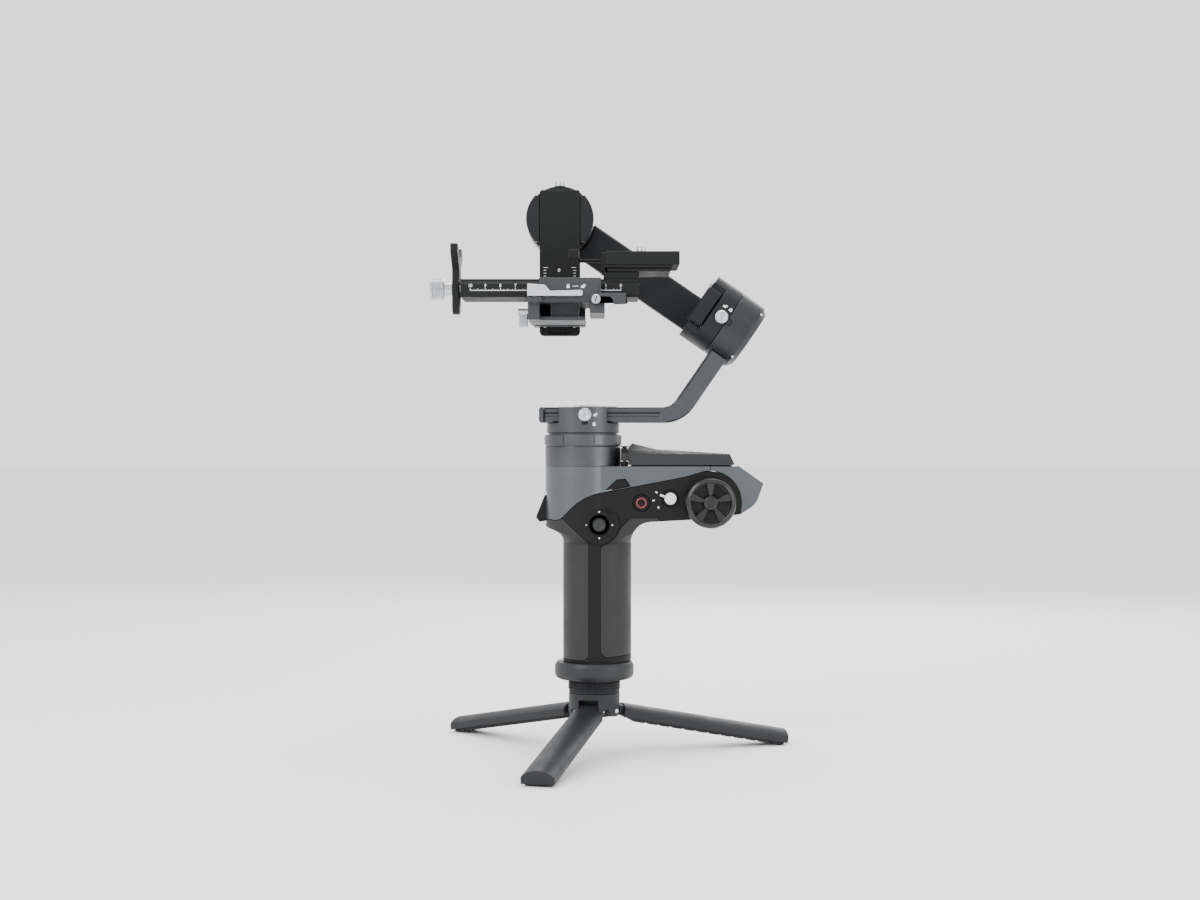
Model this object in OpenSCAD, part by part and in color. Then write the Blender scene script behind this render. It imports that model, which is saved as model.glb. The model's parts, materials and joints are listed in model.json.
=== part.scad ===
// Three-axis handheld stabilizer for a camera, standing on its folding tripod.
// Origin: on the floor under the tripod's axis. +X points to the tail, +Y to the far side, +Z up.

/* [Stand] */
// Length of a leg from its pivot to its tip
leg_length = 126; // [90:1:170]
// Width of a leg
leg_width = 21.5; // [16:0.5:23]
// Thickness of a leg with its pad
leg_thickness = 11; // [9:0.5:11]
// Slope of an open leg below the horizontal
leg_slope = 10.8; // [8:0.1:16]
// Diameter of the tripod hub
hub_diameter = 34.5; // [34:0.5:42]
// Height of the tripod hub
hub_height = 15.3; // [14:0.1:22]
// Distance of the leg pivots from the hub's axis
pivot_radius = 12.5; // [12:0.1:14]
// Height of the knurled ring
ring_height = 9.3; // [6:0.1:14]

/* [Grip] */
// Diameter of the grip over its pads
grip_diameter = 46; // [42:0.5:56]
// Length of the grip from the base collar to the neck
grip_length = 80; // [72:1:100]
// Thickness of the grip pads
pad_thickness = 2.2; // [1.6:0.1:2.6]
// Wall of the grip's inner tube
core_wall = 1.8; // [1.2:0.1:2]
// Diameter of the base collar
collar_diameter = 53.4; // [50:0.2:64]
// Height of the base collar
collar_height = 11.7; // [8:0.1:16]
// Width of the smooth strip between the pads
spine_width = 7.9; // [6:0.1:10]

/* [Housing] */
// Height of the housing from the neck to its top
housing_height = 51.3; // [50:0.5:60]
// Distance from the pan axis to the tail's tip
tail_length = 120.5; // [112:0.5:150]
// Width of the housing and tail
housing_width = 44; // [42:0.5:50]
// Wall of the shells and panels
shell_wall = 2.2; // [1.6:0.1:2.6]

/* [Screen] */
// Length of the flip-out screen
screen_length = 70.5; // [60:0.5:72]
// Width of the flip-out screen
screen_width = 42; // [36:0.5:42]
// Thickness of the screen at its free end
screen_thickness = 7.6; // [6:0.1:10]

/* [Motors] */
// Diameter of the pan motor
pan_diameter = 51; // [48:0.5:60]
// Height of the pan motor's stator
pan_height = 21.2; // [19:0.1:26]
// Diameter of the roll and tilt motors
motor_diameter = 47.6; // [47:0.2:56]
// Length of the roll and tilt stators
stator_length = 20; // [18:0.1:24]
// Length of the rotors
rotor_length = 11.2; // [9:0.1:14]
// Diameter of the motor shafts
shaft_diameter = 8; // [6:0.1:9]

/* [Arms] */
// Width of the arms
arm_width = 26; // [22:0.5:27]
// Thickness of the pan arm's straight part
arm_thickness = 10.3; // [9:0.1:12]
// Distance from the pan axis to the pan arm's bend
pan_reach = 63.2; // [58:0.5:80]
// Distance from the bend to the roll axis, along the sloping part
pan_rise = 69.6; // [60:0.5:84]
// Angle of the roll axis below the horizontal
roll_angle = 34.5; // [30:0.5:45]
// Distance from the roll motor's face to the tilt axis, along the roll axis
roll_reach = 124.8; // [118:0.5:160]
// Distance from the roll axis to the long bar's outer face
roll_span = 89; // [84:0.5:110]
// Thickness of the roll arm's long bar
bar_thickness = 10; // [8:0.1:12]

/* [Balance plates] */
// Width of the vertical bar
vbar_width = 28.5; // [24:0.5:30]
// Thickness of the vertical bar
vbar_thickness = 8; // [6:0.1:10]
// Drop from the tilt axis to the vertical bar's lower end
vbar_drop = 82.5; // [78:0.5:96]
// Drop from the tilt axis to the slide plate's top
plate_drop = 49.2; // [46:0.2:52]
// Length of the slide plate
plate_length = 118.5; // [110:0.5:130]
// Width of the slide plate
plate_width = 44; // [40:0.5:48]
// Thickness of the slide plate
plate_thickness = 12.2; // [10:0.1:13]
// Length of the camera plate
camera_plate_length = 49; // [46:0.5:60]
// Diameter of the camera screw, a quarter inch
camera_screw_diameter = 6.35; // [6.35]

/* [Controls] */
// Diameter of the control wheel
wheel_diameter = 33.6; // [28:0.2:36]
// Thickness of the control wheel
wheel_thickness = 9.5; // [7:0.1:12]
// Diameter of the record button
record_diameter = 10.8; // [8:0.1:12]
// Diameter of the mode dial
dial_diameter = 8; // [6:0.1:9]
// Diameter of the joystick's cap
stick_diameter = 8.4; // [6:0.1:10]

/* [Clearances] */
// Gap at a seam between two covers
seam_gap = 0.3; // [0.2:0.05:0.6]
// Gap on each side of a sliding arm or plate
slide_gap = 0.25; // [0.15:0.05:0.4]
// Radial gap of a shaft or pin in its bore
pin_gap = 0.05; // [0.03:0.01:0.1]
// Gap round a button or lever
button_gap = 0.3; // [0.2:0.05:0.5]

/* [Hidden] */
$fn = 64;

eps = 0.01;
far = 200;

// Stand
leg_azimuths = [15.5, 135.5, 255.5];
foot_bite = 1;
pivot_z = leg_length * sin(leg_slope) + leg_thickness / 2 * cos(leg_slope) - foot_bite;
pin_radius = 1.5;
ear_below_pin = 1.6;
hub_z0 = pivot_z - pin_radius - ear_below_pin;
hub_z1 = hub_z0 + hub_height;
ring_z1 = hub_z1 + ring_height;
tongue_width = 12.4;
tongue_radius = leg_thickness / 2 - 0.9;
leg_start = tongue_radius + 1.4;
leg_pad_depth = 2;
leg_pad_width = leg_width - 4.5;
stud_radius = 3.175;
stud_head_radius = 6;
stud_head_height = 4;
stud_reach = 9;

// Grip
grip_x = 1.95;
grip_radius = grip_diameter / 2;
core_radius = grip_radius - pad_thickness;
core_bore = core_radius - core_wall;
collar_z1 = ring_z1 + collar_height;
neck_z = collar_z1 + grip_length;
core_z1 = neck_z + 1;
neck_inset = 0.3;
cone_height = 12.5;
cone_spread = 1.2;
spine_x = 0.25;
cell_radius = 9.1;
cell_length = 65;

// Housing, whose outline is drawn in the XZ plane
pan_x = -7.6;
pan_radius = pan_diameter / 2;
front_radius = pan_radius - 0.1;
half_width = housing_width / 2;
top_z = neck_z + housing_height;
tail_x = pan_x + tail_length;
grip_left = grip_x - grip_radius;
grip_right = grip_x + grip_radius;
front_left = pan_x - front_radius;
panel_y = -half_width;

// Control positions on the near panel
stick_pos = [3.3, top_z - 38.8];
record_pos = [31.3, top_z - 24.2];
dial_pos = [50.6, top_z - 21.4];
wheel_pos = [76.9, top_z - 24.1];
boss_radius = 13;
boss_height = 2.6;
recess_radius = 6.6;
arch_radius = 21;

// Pan motor levels
pan_z1 = top_z + pan_height;
pan_rotor_z0 = pan_z1 + 1.2;
pan_arm_z0 = pan_rotor_z0 + 6.8;
pan_arm_z1 = pan_arm_z0 + arm_thickness;
arm_mid_z = (pan_arm_z0 + pan_arm_z1) / 2;
clamp_half = 16.2;
rotor_radius = pan_radius - 1.1;
shaft_radius = shaft_diameter / 2;
boss_wall = 2.4;
rail_depth = 1;
groove_depth = rail_depth + slide_gap;
groove_half = 0.8;
rail_half = groove_half - slide_gap;

// Roll motor frame: local x along the roll axis, local z up the sloping arm
elbow_x = pan_x + pan_reach;
slope_half = 6.2;
slope_mid = 20.1;
roll_dir = [cos(roll_angle), -sin(roll_angle)];
rise_dir = [sin(roll_angle), cos(roll_angle)];
elbow = [elbow_x, arm_mid_z];
roll_origin = elbow + pan_rise * rise_dir - slope_mid * roll_dir;
motor_radius = motor_diameter / 2;
stator_start = rotor_length + 0.3;
cross_thickness = 9.15;
clamp_depth = cross_thickness + slide_gap;
roll_near_end = -21;

// Tilt motor and the vertical bar
tilt_pos = roll_origin - roll_reach * roll_dir;
bar_y1 = roll_span;
bar_y0 = bar_y1 - bar_thickness;
tilt_stator_y1 = bar_y1 + 1;
tilt_stator_y0 = tilt_stator_y1 - stator_length;
tilt_rotor_y1 = tilt_stator_y0 - 0.3;
tilt_rotor_y0 = tilt_rotor_y1 - rotor_length;
vbar_y1 = tilt_rotor_y0 - slide_gap;
vbar_y0 = vbar_y1 - vbar_thickness;
vbar_z0 = tilt_pos[1] - vbar_drop;
vbar_z1 = tilt_pos[1] + 20;
vbar_half = vbar_width / 2;

// Balance plates
plate_z1 = tilt_pos[1] - plate_drop;
plate_z0 = plate_z1 - plate_thickness;
plate_x1 = 54.1 + tilt_pos[0];
plate_x0 = plate_x1 - plate_length;
plate_half = plate_width / 2;
dovetail = 2.2;
step_drop = 3.5;
base_x0 = tilt_pos[0] - 19.6;
base_x1 = tilt_pos[0] + 29;
base_half = plate_half + 6;
base_floor = 3.6;
base_z1 = plate_z0 - slide_gap;
base_z0 = base_z1 - base_floor;
riser_z1 = plate_z1 + 9.4;
camera_z1 = riser_z1 + 9;
camera_x0 = tilt_pos[0] + 32.2;
camera_x1 = camera_x0 + camera_plate_length;
camera_mid_x = camera_x0 + 24;
bracket_x1 = plate_x0 - 1.9;
bracket_thickness = 4.8;
bracket_z1 = tilt_pos[1] - 25.6;
bracket_z0 = bracket_z1 - 45.8;
knob_z = plate_z0 + 7.2;

// ---------- small helpers ----------

function unit(v) = v / norm(v);
function edge_normal(a, b) = unit([b[1] - a[1], a[0] - b[0]]);
function wrapped(p, i) = p[(i + len(p)) % len(p)];

// Moves every side of an anticlockwise outline outwards by d
function grow(p, d) = [for (i = [0:len(p) - 1])
  let (n1 = edge_normal(wrapped(p, i - 1), p[i]), n2 = edge_normal(p[i], wrapped(p, i + 1)))
  p[i] + (n1 + n2) * d / (1 + n1 * n2)];

// Points of a round corner of radius r at b, between a and c
function round_corner(a, b, c, r, steps = 6) = r == 0 ? [b] :
  let (u = unit(a - b), v = unit(c - b), half = acos(u * v) / 2,
       centre = b + unit(u + v) * r / sin(half),
       s = b + u * r / tan(half) - centre, e = b + v * r / tan(half) - centre,
       a0 = atan2(s[1], s[0]), turn = atan2(s[0] * e[1] - s[1] * e[0], s * e))
  [for (k = [0:steps]) centre + r * [cos(a0 + turn * k / steps), sin(a0 + turn * k / steps)]];

// Outline whose corners have the radii given
function rounded(p, radii) = [for (i = [0:len(p) - 1])
  each round_corner(wrapped(p, i - 1), p[i], wrapped(p, i + 1), radii[i])];

function arc_points(centre, r, a0, a1, steps) =
  [for (k = [0:steps]) centre + r * [cos(a0 + (a1 - a0) * k / steps), sin(a0 + (a1 - a0) * k / steps)]];

// Extrudes an XZ outline from y0 to y1
module along_y(y0, y1) translate([0, y1, 0]) rotate([90, 0, 0]) linear_extrude(y1 - y0) children();

module box(lo, hi) translate(lo) cube(hi - lo);

module rod_x(x0, x1, r) translate([x0, 0, 0]) rotate([0, 90, 0]) cylinder(h = x1 - x0, r = r);
module rod_y(y0, y1, r) translate([0, y1, 0]) rotate([90, 0, 0]) cylinder(h = y1 - y0, r = r);

// Cylinder from z0 to z1
module post(z0, z1, r) translate([0, 0, z0]) cylinder(h = z1 - z0, r = r);

// Puts a control at its place on the near panel
module on_panel(pos) translate([pos[0], 0, pos[1]]) children();

module roll_frame() translate([roll_origin[0], 0, roll_origin[1]]) rotate([0, roll_angle, 0]) children();

module tilt_frame() translate([tilt_pos[0], 0, tilt_pos[1]]) children();

// ---------- tripod ----------

module on_leg(i) rotate([0, 0, leg_azimuths[i]]) translate([pivot_radius, 0, pivot_z])
  rotate([0, leg_slope, 0]) children();

module tripod_hub() color("dimgray") difference() {
  union() {
    post(hub_z0 + 1.2, hub_z1, hub_diameter / 2);
    translate([0, 0, hub_z0]) cylinder(h = 1.2, r1 = hub_diameter / 2 - 1.2, r2 = hub_diameter / 2);
  }
  post(hub_z0 - 1, hub_z0 + stud_head_height + 1, stud_head_radius + 0.2);
  post(hub_z0, hub_z1 + 1, stud_radius + pin_gap);
  for (i = [0:2]) rotate([0, 0, leg_azimuths[i]]) {
    box([pivot_radius - tongue_radius - 0.4, -tongue_width / 2 - 0.25, hub_z0 - 1],
        [far, tongue_width / 2 + 0.25, pivot_z + tongue_radius + 3.4]);
    translate([pivot_radius, 0, pivot_z]) rod_y(-far, far, pin_radius);
  }
}

module tripod_ring() color("dimgray") difference() {
  union() {
    post(hub_z1, ring_z1, hub_diameter / 2 - 0.6);
    for (z = [hub_z1 + 1, ring_z1 - 4]) post(z, z + 3, hub_diameter / 2 + 0.4);
  }
  post(hub_z1 - 1, ring_z1 + 1, stud_radius + pin_gap);
}

module tripod_fasteners() color("silver") {
  post(hub_z0 + 1, hub_z0 + 1 + stud_head_height, stud_head_radius);
  post(hub_z0 + 1 + stud_head_height - eps, ring_z1 + stud_reach, stud_radius);
  for (i = [0:2]) rotate([0, 0, leg_azimuths[i]]) translate([pivot_radius, 0, pivot_z])
    rod_y(-leg_width / 2 + 0.3, leg_width / 2 - 0.3, pin_radius);
}

module leg_section() {
  rise = leg_thickness / 2;
  arch = leg_width * 0.7;
  intersection() {
    translate([-leg_width / 2, -rise + leg_pad_depth]) square([leg_width, leg_thickness - leg_pad_depth]);
    translate([0, rise - arch]) circle(r = arch, $fn = 96);
  }
}

module leg(i) color("dimgray") on_leg(i) difference() {
  union() {
    translate([leg_start, 0, 0]) rotate([90, 0, 90]) linear_extrude(leg_length - leg_start) leg_section();
    rod_y(-tongue_width / 2, tongue_width / 2, tongue_radius);
    box([0, -tongue_width / 2, -tongue_radius + leg_pad_depth], [leg_start + 1, tongue_width / 2,
        tongue_radius - 0.6]);
  }
  rod_y(-far, far, pin_radius + pin_gap);
}

module leg_pad(i) color("black") intersection() {
  on_leg(i) difference() {
    box([leg_start + 8, -leg_pad_width / 2, -leg_thickness / 2],
        [leg_length - 2, leg_pad_width / 2, -leg_thickness / 2 + leg_pad_depth]);
    for (x = [leg_start + 16:9:leg_length - 14])
      box([x, -far, -leg_thickness / 2 - 1], [x + 2, far, -leg_thickness / 2 + leg_pad_depth / 2]);
  }
  post(0, far, far);
}

module tripod_leg_1() leg(0);
module tripod_leg_2() leg(1);
module tripod_leg_3() leg(2);
module leg_pad_1() leg_pad(0);
module leg_pad_2() leg_pad(1);
module leg_pad_3() leg_pad(2);

// ---------- grip ----------

module base_collar() color("#2c2d2e") difference() {
  rotate_extrude() polygon(concat(
    [[0, ring_z1], [collar_diameter / 2 - 6, ring_z1]],
    round_corner([collar_diameter / 2 - 6, ring_z1], [collar_diameter / 2, ring_z1],
      [collar_diameter / 2, collar_z1], 4),
    [[collar_diameter / 2, collar_z1 - 3], [collar_diameter / 2 - 1.4, collar_z1], [0, collar_z1]]));
  post(ring_z1 - 1, collar_z1 + 1, stud_radius + pin_gap);
}

module core_outline(r, flat) intersection() {
  circle(r = r, $fn = 96);
  square([4 * r, 2 * flat], center = true);
}

module grip_core() color("#303132") translate([grip_x, 0, 0]) difference() {
  post(collar_z1, core_z1, core_radius);
  post(collar_z1 + 3, core_z1 + 1, core_bore);
  translate([-grip_x, 0, 0]) post(collar_z1 - 1, collar_z1 + 4, stud_radius + pin_gap);
}

module battery_cells() color("royalblue") for (side = [-1, 1])
  translate([grip_x + side * cell_radius, 0, 0]) post(collar_z1 + 3, collar_z1 + 3 + cell_length,
      cell_radius - 0.05);

// Corners of the housing, neck and tail in the XZ plane, anticlockwise from the neck's left
housing_corners = [
  [grip_left + neck_inset, neck_z], [grip_right - neck_inset, neck_z],
  [grip_right - neck_inset, top_z - 37.6], [grip_right + 41, top_z - 35.4], [tail_x - 15.6, top_z - 32],
  [tail_x - 5.2, top_z - 25.4], [tail_x, top_z - 11.4],
  [tail_x - 17, top_z + 0.5], [tail_x - 18, top_z], [front_left, top_z],
  [front_left, top_z - 40.3], [grip_left + neck_inset, top_z - 45]];
housing_radii = [0, 0, 13, 30, 6, 14, 1, 0, 0, 0, 1.5, 6.5];

// Radius left at a corner when the outline moves in by d: smaller outside corners, larger inside ones
function inner_radius(p, i, r, d) =
  let (u = p[i] - wrapped(p, i - 1), v = wrapped(p, i + 1) - p[i])
  r == 0 ? 0 : u[0] * v[1] - u[1] * v[0] > 0 ? max(0, r - d) : r;

module plan_outline(inset) {
  half = half_width - inset;
  translate([pan_x, 0]) circle(r = front_radius - inset, $fn = 96);
  polygon([[pan_x, -half], [tail_x - 42, -half], [tail_x - inset, -half + 5],
    [tail_x - inset, half - 5], [tail_x - 42, half], [pan_x, half]]);
}

// Cone that rounds the housing's corners off where they meet the grip
module neck_cone(inset) {
  base_radius = grip_radius + neck_inset - inset;
  translate([grip_x, 0, neck_z - 1])
    cylinder(h = cone_height + 1, r1 = base_radius - cone_spread,
        r2 = base_radius + cone_spread * cone_height);
  box([-far, -far, neck_z + cone_height - eps], [far, far, 2 * far]);
}

module skin_outer() {
  intersection() {
    along_y(-far, far) polygon(rounded(housing_corners, housing_radii));
    translate([0, 0, neck_z]) linear_extrude(far) plan_outline(0);
    neck_cone(0);
  }
  translate([grip_x, 0, collar_z1]) linear_extrude(grip_length + eps) core_outline(grip_radius, half_width);
}

module skin_inner() {
  intersection() {
    along_y(-far, far) polygon(rounded(grow(housing_corners, -shell_wall),
      [for (i = [0:len(housing_corners) - 1]) inner_radius(housing_corners, i, housing_radii[i],
          shell_wall)]));
    translate([0, 0, neck_z]) linear_extrude(far) plan_outline(shell_wall);
    neck_cone(shell_wall);
  }
  translate([grip_x, 0, 0]) post(collar_z1 - 1, core_z1 + pin_gap, core_radius + pin_gap);
  translate([grip_x, 0, 0]) post(core_z1, core_z1 + 4, core_bore);
}

module skin() difference() {
  skin_outer();
  skin_inner();
}

// Grey region of the housing, above the black panel
grey_region = concat(
  [[front_left - 20, top_z - 35]],
  [[front_left + 3, top_z - 35.2], [front_left + 6.5, top_z - 36], [front_left + 10.5, top_z - 35.2]],
  [[-16.5, top_z - 29.2], [-11.8, top_z - 24.8], [-5.9, top_z - 21], [0.1, top_z - 18.6], [6.6,
      top_z - 17.4],
   [60.9, top_z - 7]],
  arc_points(wheel_pos, arch_radius, 112, -14, 16),
  [[tail_x - 13, top_z - 60], [far, top_z - 60], [far, top_z + far], [-far, top_z + far], [-far,
      top_z - 35]]);

front_pad_region = rounded([[-far, collar_z1 + 2.2], [spine_x - spine_width / 2, collar_z1 + 2.2],
  [spine_x - spine_width / 2, top_z - 51], [front_left + 12, top_z - 35], [-far, top_z - 33]], [0, 5,
      3, 1, 0]);

rear_pad_region = rounded([[spine_x + spine_width / 2, collar_z1 + 4.2], [far, collar_z1 + 15],
  [42.5, top_z - 60], [42.5, top_z - 34.2], [24.5, top_z - 34.4], [spine_x + spine_width / 2, top_z - 54]],
  [5, 0, 0, 0.5, 4, 4]);

module near_half() box([-far, -far, 0], [far, -seam_gap / 2, 2 * far]);
module far_half() box([-far, seam_gap / 2, 0], [far, far, 2 * far]);

trigger_half = 5.5;
trigger_pin = 1.2;
trigger_pivot = [front_left + 4.2, top_z - 22.4];

module trigger_opening() box([front_left - 10, -trigger_half - button_gap, top_z - 39],
  [front_left + 3, trigger_half + button_gap, top_z - 17.5]);

module trigger_lug(side) difference() {
  translate([0, side * (trigger_half + button_gap + 1.5), 0])
    box([front_left + 1, -1.5, trigger_pivot[1] - 3.5], [trigger_pivot[0] + 3, 1.5,
        trigger_pivot[1] + 3.5]);
  on_panel(trigger_pivot) rod_y(-far, far, trigger_pin + pin_gap);
}

tail_seam = wheel_pos[0] + 0.3;

module grey_shell(side) {
  difference() {
    intersection() {
      skin();
      along_y(-far, far) polygon(grow(grey_region, -seam_gap / 2));
      if (side < 0) near_half(); else far_half();
    }
    box([tail_seam, -far, 0], [far, far, 2 * far]);
    trigger_opening();
    on_panel(trigger_pivot) rod_y(-trigger_half - 3.5, trigger_half + 3.5, trigger_pin + pin_gap);
    if (side < 0) along_y(-far, 0) polygon(grow(power_outline, button_gap));
  }
  intersection() {
    trigger_lug(side);
    translate([pan_x, 0, 0]) post(0, 2 * far, front_radius - 0.2);
  }
}

module shell_near() color("slategray") grey_shell(-1);
module shell_far() color("slategray") grey_shell(1);

module tail_cap() color("gray") intersection() {
  skin();
  along_y(-far, far) polygon(grow(grey_region, -seam_gap / 2));
  box([tail_seam + seam_gap, -far, 0], [far, far, 2 * far]);
}

// Region that belongs to the panels: below the grey shells and between the pads
module panel_region() difference() {
  translate([-far, collar_z1 + 1]) square([2 * far, far]);
  polygon(grow(grey_region, seam_gap / 2));
  polygon(grow(front_pad_region, seam_gap / 2));
  polygon(grow(rear_pad_region, seam_gap / 2));
}

module panel_skin() intersection() {
  skin();
  along_y(-far, far) panel_region();
}

module control_panel() color("#202122") {
  difference() {
    union() {
      intersection() {
        panel_skin();
        near_half();
      }
      on_panel(stick_pos) difference() {
        rod_y(panel_y - boss_height, panel_y + 0.6, boss_radius);
        box([-far, -far, 7.5], [far, far, far]);
      }
    }
    on_panel(stick_pos) rod_y(-far, 0, recess_radius);
    on_panel(record_pos) rod_y(-far, 0, record_diameter / 2 + button_gap);
    on_panel(dial_pos) rod_y(-far, panel_y + 1, dial_diameter / 2 + 1.8);
    on_panel(dial_pos) rod_y(-far, 0, 1.5 + pin_gap);
    on_panel(wheel_pos) rod_y(-far, 0, 3 + pin_gap);
    along_y(-far, 0) polygon(grow(power_outline, button_gap));
    trigger_opening();
  }
}

module far_panel() color("#202122") difference() {
  intersection() {
    panel_skin();
    far_half();
  }
  trigger_opening();
}

module grip_front_pad() color("#3a3b3c") difference() {
  intersection() {
    skin();
    along_y(-far, far) difference() {
      polygon(front_pad_region);
      polygon(grow(grey_region, seam_gap / 2));
    }
  }
  trigger_opening();
}

module grip_rear_pad() color("#3a3b3c") difference() {
  intersection() {
    skin();
    along_y(-far, far) polygon(rear_pad_region);
  }
  on_panel(stick_pos) rod_y(-far, 0, boss_radius + seam_gap);
}

module main_board() color("darkgreen") box([12, 4, top_z - 27], [68, 5.6, top_z - 6]);

// ---------- controls ----------

power_outline = [[7.6, top_z - 16.2], [23.6, top_z - 13], [20.6, top_z - 8.6], [15.2, top_z - 9]];
stick_pivot_y = panel_y + 6;

module joystick_cradle() color("gray") on_panel(stick_pos) difference() {
  rod_y(stick_pivot_y - 1, stick_pivot_y + 1, 4.6);
  rod_y(-far, far, 2.9);
}

module joystick_stick() color("black") on_panel(stick_pos) {
  rod_y(panel_y - 4, stick_pivot_y + 1, 1.5);
  rod_y(panel_y - 7, panel_y - 4, stick_diameter / 2);
}

module power_button() color("#26272a") along_y(panel_y - 0.5, panel_y + 3.4) polygon(power_outline);

module record_button() color("firebrick") on_panel(record_pos) {
  rod_y(panel_y - 0.9, panel_y + 1.2, record_diameter / 2);
  rod_y(panel_y + 1.2, panel_y + 3.6, record_diameter / 2 - 1);
}

module mode_dial() color("gainsboro") on_panel(dial_pos) {
  rod_y(panel_y - 3, panel_y + 0.7, dial_diameter / 2);
  rod_y(panel_y + 0.7, panel_y + 5, 1.5);
  rotate([0, -160, 0]) box([3, panel_y - 1.2, -0.7], [dial_diameter / 2 + 1.2, panel_y + 0.3, 0.7]);
}

module control_wheel() color("#2a2b2c") on_panel(wheel_pos) {
  difference() {
    rod_y(panel_y - 1 - wheel_thickness, panel_y - 1, wheel_diameter / 2);
    rod_y(-far, panel_y - wheel_thickness + 1.5, wheel_diameter / 2 - 3);
  }
  for (k = [0:4]) rotate([0, 72 * k + 18, 0])
    box([0, panel_y - wheel_thickness - 0.4, -2], [wheel_diameter / 2 - 2.5,
        panel_y - wheel_thickness + 1.5 + eps, 2]);
  rod_y(panel_y - wheel_thickness - 0.6, panel_y - wheel_thickness + 1.5 + eps, 5);
  rod_y(panel_y - 1 - eps, panel_y + 5, 3);
}

module trigger() color("black") {
  along_y(-trigger_half, trigger_half) polygon(rounded([
    [front_left + 2.2, top_z - 36.5], [trigger_pivot[0] + 2, trigger_pivot[1] - 2],
    [trigger_pivot[0] + 2, trigger_pivot[1] + 2.4], [front_left - 0.4, top_z - 19.4],
    [front_left - 6.3, top_z - 34.2], [front_left - 4, top_z - 37.4]],
    [0.6, 1, 1, 0.6, 1.5, 1.5]));
  on_panel(trigger_pivot) rod_y(-trigger_half - 2.5, trigger_half + 2.5, trigger_pin);
}

// ---------- screen ----------

hinge_pos = [20.2, -half_width + 5.2];
screen_x0 = hinge_pos[0] + 2.9;
screen_x1 = screen_x0 + screen_length;
screen_z0 = top_z + 0.8;
hinge_radius = 2.4;
hinge_pin = 1.1;

module screen_hinge() color("#303132") translate([hinge_pos[0], hinge_pos[1], 0]) {
  post(top_z, top_z + 3.2, hinge_radius);
  box([-hinge_radius, 0, top_z], [hinge_radius, 9, top_z + 3]);
  post(top_z + 3.2 - eps, top_z + 12.6, hinge_pin);
  post(top_z + 12.6 - eps, top_z + 13.6, hinge_radius);
}

module screen_case() color("#3a3b3d") difference() {
  union() {
    along_y(-screen_width / 2, screen_width / 2) polygon(rounded([
      [screen_x0, screen_z0], [screen_x1, screen_z0], [screen_x1 - 3.6, screen_z0 + screen_thickness],
      [screen_x0 + 18, screen_z0 + 10.6], [screen_x0 + 2.4, screen_z0 + 14.6], [screen_x0, screen_z0 + 12]],
      [0.5, 1, 1, 4, 1, 1]));
    translate([hinge_pos[0], hinge_pos[1], 0]) {
      post(top_z + 3.6, top_z + 12.3, hinge_radius);
      box([0, -hinge_radius, top_z + 3.6], [screen_x0 - hinge_pos[0] + 1, hinge_radius, top_z + 12.3]);
    }
  }
  translate([hinge_pos[0], hinge_pos[1], 0]) post(top_z, top_z + far, hinge_pin + pin_gap);
  box([screen_x0 + 5, -screen_width / 2 + 3, screen_z0 - 1], [screen_x1 - 3, screen_width / 2 - 3,
      screen_z0 + 1.2]);
}

module screen_glass() color("black") box([screen_x0 + 5.1, -screen_width / 2 + 3.1, screen_z0 + 0.2],
  [screen_x1 - 3.1, screen_width / 2 - 3.1, screen_z0 + 1.2]);

// ---------- motors, drawn along +Z with the rotor above z = 0 and the stator below ----------

cup_wall = 1.9;
cup_floor = 2.6;
skirt_gap = 0.4;
skirt_wall = 1.5;

module stator_cup(r, length) difference() {
  union() {
    difference() {
      post(-length, 0, r);
      post(-length + cup_floor, 1, r - cup_wall);
    }
    post(-length, -4, shaft_radius + boss_wall);
  }
  post(-length + 1, 1, shaft_radius);
}

module coil_pack(r, length) difference() {
  union() {
    post(-length + cup_floor + 1.5, -4.5, shaft_radius + boss_wall + 3);
    for (k = [0:8]) rotate([0, 0, 40 * k])
      box([shaft_radius + boss_wall + 1.5, -2.2, -length + cup_floor + 2],
          [r - cup_wall - skirt_gap - skirt_wall - 0.8, 2.2, -5]);
  }
  post(-far, far, shaft_radius + boss_wall);
}

module rotor_skirt(r, length) difference() {
  post(-length + cup_floor + 1, eps, r - cup_wall - skirt_gap);
  post(-far, far, r - cup_wall - skirt_gap - skirt_wall);
}

module motor_shaft(length) {
  post(-length + 1.5, 0, shaft_radius - pin_gap);
}

module to_pan() translate([pan_x, 0, pan_z1]) children();

// Local +Z of the roll motor points along -x of the roll frame
module to_roll() roll_frame() translate([stator_start, 0, 0]) rotate([0, -90, 0]) children();

// Local +Z of the tilt motor points towards the near side
module to_tilt() tilt_frame() translate([0, tilt_stator_y0, 0]) rotate([90, 0, 0]) children();

// Side clamp that holds an arm sliding along x: rails at y = +-arm_width / 2, floor at z = 0
module arm_grooves(x0, x1, half, mid) for (side = [-1, 1])
  translate([0, side * half, mid]) box([x0, -groove_depth, -groove_half], [x1, groove_depth, groove_half]);

module clamp_rails(x0, x1, half, mid) for (side = [-1, 1])
  translate([0, side * (half + slide_gap), mid]) box([x0, -rail_depth, -rail_half], [x1, rail_depth,
      rail_half]);

module pan_stator() color("#4a4c4e") to_pan() difference() {
  stator_cup(pan_radius, pan_height);
  difference() {
    post(-8.2, -7.6, pan_radius + 1);
    post(-9, -7, pan_radius - 0.5);
  }
}

module pan_coils() color("peru") to_pan() coil_pack(pan_radius, pan_height);

lock_travel = 4.5;
lock_radius = 4.3;
lock_stem = 1.5;

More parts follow.
